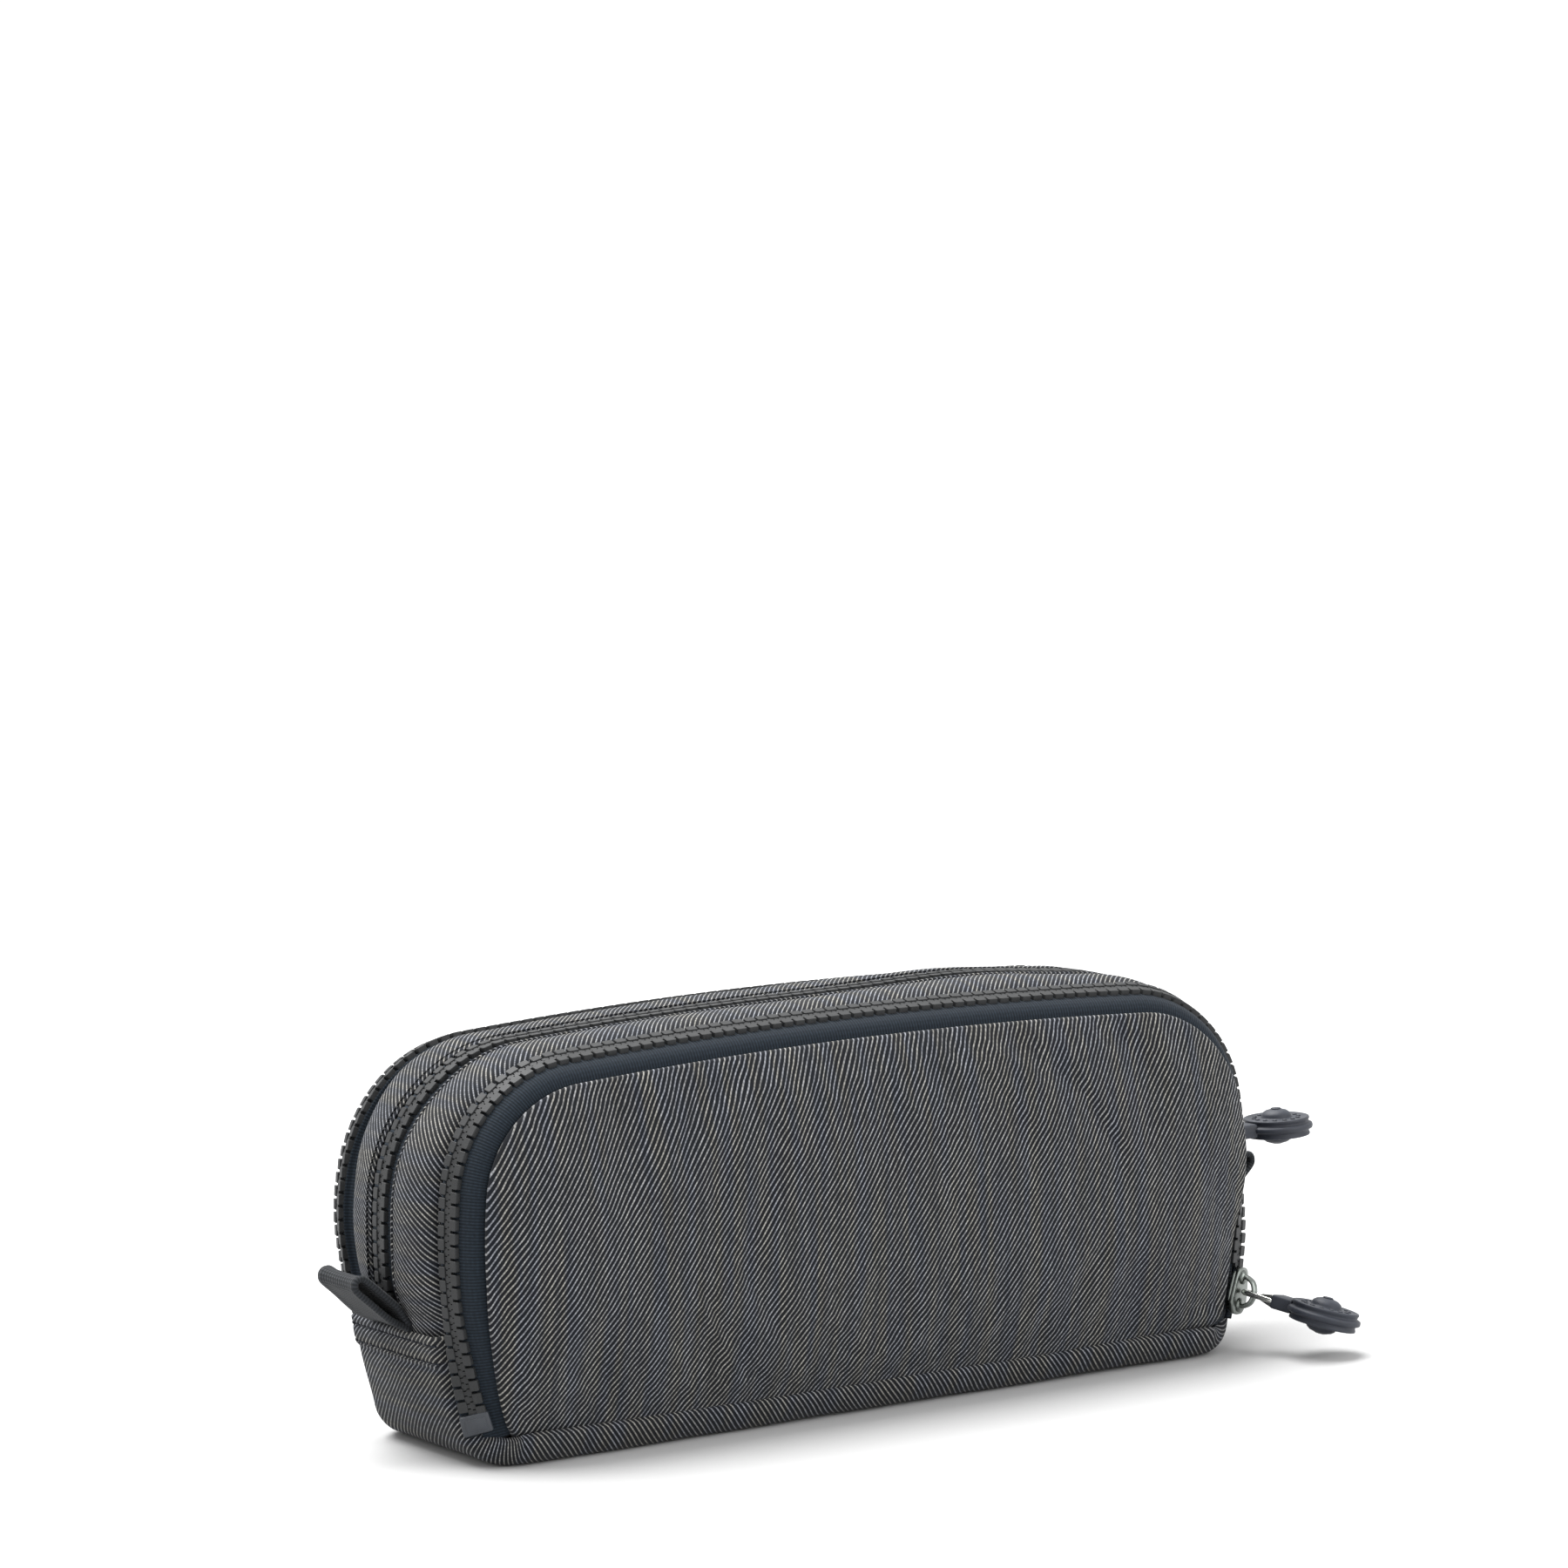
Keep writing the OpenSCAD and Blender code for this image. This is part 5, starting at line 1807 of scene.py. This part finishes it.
@dataclass
class Slider:
    """A slider and its pull, built in the slider's own frame: X out of its face, Z along the chain."""

    which: Which
    zips: Zips
    park: float = 14.8
    middle_park: float = 48.0
    length: float = 11.6
    width: float = 8.0
    plate_e: float = 1.7
    plate_t: float = 1.2
    pivot_e: float = 4.1
    bail_r: float = 3.5
    bail_w: float = 1.25
    link_r: float = 0.68
    link_l: float = 8.2
    neck_w: float = 6.6
    neck_t: float = 3.5
    grip_r: float = 9.0
    reach: float = 21.5
    dip: float = 6.0
    dots: int = 14

    def frame(self) -> Matrix:
        """Where the slider sits on its chain."""
        arch = self.zips.arch
        middle = self.which is Which.MIDDLE
        r = arch.side_r + (arch.proud if middle else 0.0)
        z = self.middle_park if middle else self.park
        turn = math.asin((arch.wide_z - z) / r)
        place = Matrix.Translation(Vector((arch.side_c[0], 0, arch.side_c[1])) * MM)
        place = place @ Matrix.Rotation(turn, 4, "Y")
        place = place @ Matrix.Translation(Vector((r, 0 if middle else -arch.zip_y, 0)) * MM)
        if not middle:
            place = place @ Matrix.Rotation(-math.radians(arch.foot_tilt), 4, "Z")
        if self.which is Which.REAR:
            place = Matrix.Scale(-1, 4, Vector((0, 1, 0))) @ place
        return place

    def plate(self, low: float) -> bpy.types.Object:
        """One of the slider's two plates: a shield, wide where the rows enter."""
        h, w = self.length / 2, self.width / 2
        half = spline(
            (
                (0.0, -h), (w * 0.62, -h * 0.93), (w * 0.97, -h * 0.6), (w, -h * 0.25), (w * 0.86, h * 0.35),
                (w * 0.68, h * 0.8), (w * 0.4, h * 0.97), (0.0, h),
            ),
            22,
        )
        outline = [tuple(p) for p in half] + [(-x, z) for x, z in half[-2:0:-1]]
        plate = bevelled(prism("plate", outline, low, low + self.plate_t), 0.35, 3)
        # The outline lies in X and Y; turn it so that X is out of the face
        turn = Matrix(((0, 0, 1, 0), (1, 0, 0, 0), (0, 1, 0, 0), (0, 0, 0, 1)))
        return placed(plate, turn)

    def metal(self) -> bpy.types.Object:
        """The slider's body: two plates, their side lips and the post between them."""
        e, t = self.plate_e, self.plate_t
        parts = [self.plate(e), self.plate(-e - t)]
        w = self.width / 2
        for s in (-1, 1):
            for face in (-1, 1):
                edge = spline(
                    ((s * w * 0.93, -2.6), (s * w * 0.9, 0.0), (s * w * 0.74, 3.4), (s * w * 0.6, 4.6)), 12,
                )
                path = np.column_stack([np.full(12, face * (e - 0.12)), edge])
                parts.append(tube("lip", path, 0.36, 8, up=Vector((1, 0, 0)), flat=1.6))
        post = prism(
            "post", ((-e - 0.2, -0.45), (e + 0.2, -0.45), (e + 0.2, 0.45), (-e - 0.2, 0.45)),
            -self.length / 2 + 0.9, -self.length / 2 + 3.2,
        )
        parts.append(bevelled(post, 0.2, 2))
        return joined(f"{self.which.value}_slider_casting", parts)

    def bail(self) -> bpy.types.Object:
        """The arched strap that holds the pull on the slider."""
        base = self.plate_e + self.plate_t - 0.2
        arc = spline(
            (
                (0.0, -self.bail_r - 0.2), (1.6, -self.bail_r + 0.1), (3.1, -2.3), (3.75, 0.0), (3.1, 2.3),
                (1.6, self.bail_r - 0.1), (0.0, self.bail_r + 0.2),
            ),
            34,
        )
        path = np.column_stack([base + arc[:, 0], np.zeros(len(arc)), arc[:, 1]])
        strap = tube("strap", path, 0.62, 12, up=Vector((0, 1, 0)), flat=self.bail_w / 0.62)
        feet = [
            placed(
                lathe("foot", ((0, -0.5), (1.7, -0.4), (1.75, 0.1), (1.2, 0.55), (0, 0.6)), 18),
                Matrix.Translation(
                    Vector((base + 0.35, 0, s * (self.bail_r - 0.1))) * MM
                ) @ Matrix.Rotation(math.pi / 2, 4, "Y"),
            ) for s in (-1, 1)
        ]
        return joined(f"{self.which.value}_slider_bail", [strap, *feet])

    def pull_frame(self) -> Matrix:
        """Where the pull hangs on the bail."""
        dip = 0.0 if self.which is Which.MIDDLE else math.radians(self.dip)
        return self.frame() @ Matrix.Translation(
            Vector((self.pivot_e * MM, 0, 0))
        ) @ Matrix.Rotation(dip, 4, "Y")

    def link(self) -> bpy.types.Object:
        """The wire link from the bail into the grip's neck."""
        near, far = 1.55, 2.55
        corner = 0.9
        half = [
            (0.0, 0.0), (-0.15, near - corner), (0.35, near - 0.1), (1.4, near + 0.35), (4.5, near + 0.75),
            (self.link_l - 0.8, far), (self.link_l + 0.5, far),
        ]
        right = spline([(x, y) for x, y in half[1:]], 26)
        loop = np.vstack([right, (right * np.array([1, -1]))[::-1]])
        path = np.column_stack([loop[:, 0], loop[:, 1], np.zeros(len(loop))])
        wire = tube("wire", path, self.link_r, 14, closed=True, up=Vector((0, 0, 1)))
        # The wire's end is pressed into a wedge as deep as the grip's neck
        ends = ((self.link_l - 3.6, 1.7, 0.8), (self.link_l + 0.6, 3.2, 1.65))
        corners = np.array(
            [(x, y * w, z * t) for x, w, t in ends for y, z in ((-1, -1), (1, -1), (1, 1), (-1, 1))]
        )
        sides = [[0, 1, 2, 3], [7, 6, 5, 4]] + [[i, i + 4, (i + 1) % 4 + 4, (i + 1) % 4] for i in range(4)]
        crimp = bevelled(new_object("crimp", corners * MM, sides), 0.45, 3)
        return joined(f"{self.which.value}_pull_wire", [wire, crimp])

    def grip(self) -> bpy.types.Object:
        """The round grip: two flanges, a bead between them, a dome on both faces."""
        r = self.grip_r
        half = [
            (0, 4.35), (1.5, 4.25), (2.7, 3.9), (3.45, 3.35), (3.75, 2.8), (3.8, 2.4),
            (4.1, 2.15), (7.0, 2.1), (7.4, 2.3), (7.8, 2.35), (8.15, 2.25), (8.25, 2.0),
            (8.2, 1.75), (8.05, 1.5), (8.0, 1.2), (8.0, 0.9),
            (8.45, 0.78), (r - 0.1, 0.55), (r, 0.2),
        ]
        profile = half + [(x, -z) for x, z in half[::-1]]
        disc = placed(lathe("disc", profile, 72), Matrix.Translation(Vector((self.reach * MM, 0, 0))))
        w, t = self.neck_w / 2, self.neck_t / 2
        x0, x1 = self.link_l, self.reach - self.grip_r + 1.4
        neck = prism(
            "neck",
            (
                (x0, -w), (x0 + 2.0, -w * 0.94), (x1 - 1.0, -w * 0.92), (x1, -w), (x1, w),
                (x1 - 1.0, w * 0.92), (x0 + 2.0, w * 0.94), (x0, w),
            ),
            -t, t,
        )
        parts = [disc, bevelled(neck, 0.7, 3)]
        slit = np.linspace(-1.15, 1.15, 13)
        for face in (-1, 1):
            arc = np.column_stack(
                [self.reach + 3.4 * np.sin(slit), np.zeros(13), face * (2.05 + 2.2 * np.cos(slit))]
            )
            parts.append(tube("ridge", arc, 0.26, 8, up=Vector((0, 1, 0))))
            ring = placed(
                lathe("collar", ((0, -0.1), (1.15, -0.1), (1.3, 0.1), (1.1, 0.28), (0, 0.3)), 20),
                Matrix.Translation(Vector((self.reach * MM, 0, face * 4.3 * MM))),
            )
            parts.append(ring)
            parts.append(self.ring_of_dots(face))
        return joined(f"{self.which.value}_pull_soft_grip", parts)

    def ring_of_dots(self, face: int) -> bpy.types.Object:
        """Plain embossed dots round the dome, on one face of the grip."""
        dot = lathe("dot", ((0, -0.1), (0.62, -0.1), (0.56, 0.22), (0.3, 0.34), (0, 0.36)), 8)
        a = np.linspace(0, TAU * (1 - 1 / self.dots), 4 * self.dots)
        line = np.column_stack(
            [self.reach + 5.6 * np.cos(a), 5.6 * np.sin(a), np.full_like(a, face * 2.12)]
        ) * MM
        out = np.tile([0.0, 0.0, float(face)], (len(a), 1))
        ring = self.zips.repeater.along("dots", line, out, self.dots, dot, self.zips.finishes.rubber)
        bpy.data.objects.remove(dot)
        return ring

    def build(self) -> None:
        """Makes the slider and its pull and sets them on their bodies."""
        look, word = self.zips.finishes, self.which.value
        at, hang = self.frame(), self.pull_frame()
        pieces = (
            (self.metal(), at, look.slider, "slider", "slider_metal", "slider_body"),
            (self.bail(), at, look.slider, "slider", "slider_metal", "slider_bridge"),
            (self.link(), hang, look.wire, "pull", "link_metal", "pull_link"),
            (self.grip(), hang, look.rubber, "pull", "grip_rubber", "pull_grip"),
        )
        for obj, matrix, finish, body, slot, node in pieces:
            dress(placed(obj, matrix), finish)
            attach(obj, f"{word}_{body}")
            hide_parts(f"{word}_{node}")
            LOG.info("%s stands for %s_%s", obj.name, word, node)


# ---- The whole case and its studio ----


@dataclass
class Studio:
    """Camera, floor and lights."""

    place: tuple[float, float, float] = (-0.6671, -1.1661, 0.2687)
    yaw: float = 29.76
    pitch: float = -5.23
    roll: float = -2.58
    lens: float = 131.06
    floor: float = 6.0

    def camera(self) -> None:
        """A long lens from the front left, a little above the case."""
        yaw, pitch, roll = (math.radians(a) for a in (self.yaw, self.pitch, self.roll))
        ahead = Vector((math.sin(yaw) * math.cos(pitch), math.cos(yaw) * math.cos(pitch), math.sin(pitch)))
        right = Vector((math.cos(yaw), -math.sin(yaw), 0))
        up = right.cross(ahead)
        right, up = right * math.cos(roll) + up * math.sin(roll), up * math.cos(roll) - right * math.sin(roll)
        data = bpy.data.cameras.new("studio_camera")
        data.lens = self.lens
        data.sensor_width = 36
        data.clip_end = 50
        obj = bpy.data.objects.new("studio_camera", data)
        turn = Matrix((right, up, -ahead)).transposed().to_4x4()
        obj.matrix_world = Matrix.Translation(Vector(self.place)) @ turn
        bpy.context.scene.collection.objects.link(obj)
        bpy.context.scene.camera = obj

    def light(self, name: str, place: tuple[float, float, float], spread: float, power: float) -> None:
        """A broad distant softbox that shines from a place towards the case."""
        data = bpy.data.lights.new(name, "SUN")
        data.angle = math.radians(spread)
        data.energy = power
        obj = bpy.data.objects.new(name, data)
        obj.rotation_euler = (-Vector(place)).to_track_quat("-Z", "Y").to_euler()
        bpy.context.scene.collection.objects.link(obj)

    def build(self, paper: bpy.types.Material) -> None:
        """Lays the floor and sets the lights."""
        world = bpy.data.worlds.new("studio_air")
        world.use_nodes = True
        background = world.node_tree.nodes["Background"]
        background.inputs["Color"].default_value = (1, 1, 1, 1)
        background.inputs["Strength"].default_value = 1.06
        bpy.context.scene.world = world
        bpy.context.scene.view_settings.view_transform = "Standard"
        self.light("top_softbox", (-0.15, 0.35, 1.0), 50.0, 6.2)
        self.light("front_softbox", (0.55, -1.0, 0.45), 50.0, 1.6)
        s = self.floor
        floor = new_object(
            "studio_floor", np.array([(-s, -s, 0), (s, -s, 0), (s, s, 0), (-s, s, 0)]), [(0, 1, 2, 3)],
        )
        floor.data.transform(Matrix.Translation((0, 0, -0.00005)))
        dress(floor, paper)


def main() -> None:
    """Builds the case round its frame."""
    logging.basicConfig(level=logging.INFO, format="%(name)s: %(message)s")
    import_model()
    studio = Studio()
    studio.camera()
    finishes = Finishes()
    zips = Zips(Arch.from_frame(), Repeater(), finishes)
    LOG.info(
        "arch %.1f mm long, half length %.1f, height %.1f", zips.arch.length, zips.arch.half_length,
        zips.arch.height,
    )
    Base(zips).build()
    for left in (True, False):
        WebbingLoop(left, zips).build()
    front = Panel(Side.FRONT, zips)
    front.build()
    Panel(Side.REAR, zips, sheet=front.sheet).build()
    for side in Side:
        Gusset(side, zips).build()
        Divider(side, zips).build()
    hem = zips.arch.at_height(zips.hem_z + 2.6)
    point = zips.arch.surface(np.array([hem]), np.zeros(1), zips.dip - zips.arch.proud)[0]
    _, nrm = zips.arch.line(np.array([hem]))
    along = Vector((nrm[0][1], 0, -nrm[0][0]))
    stop = stop_block(
        "middle_zip_box_stop", axes(point, along, np.array([nrm[0][0], 0, nrm[0][1]])), 6.6, 4.4, 2.8,
    )
    dress(stop, finishes.stop)
    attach(stop, "base")
    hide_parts("middle_zip_bottom_stop")
    for which in Which:
        Slider(which, zips).build()
    studio.build(finishes.paper)
    for proto in ("tooth_prototype", "stitch_prototype"):
        bpy.data.objects.remove(bpy.data.objects[proto])


if __name__ == "__main__":
    main()
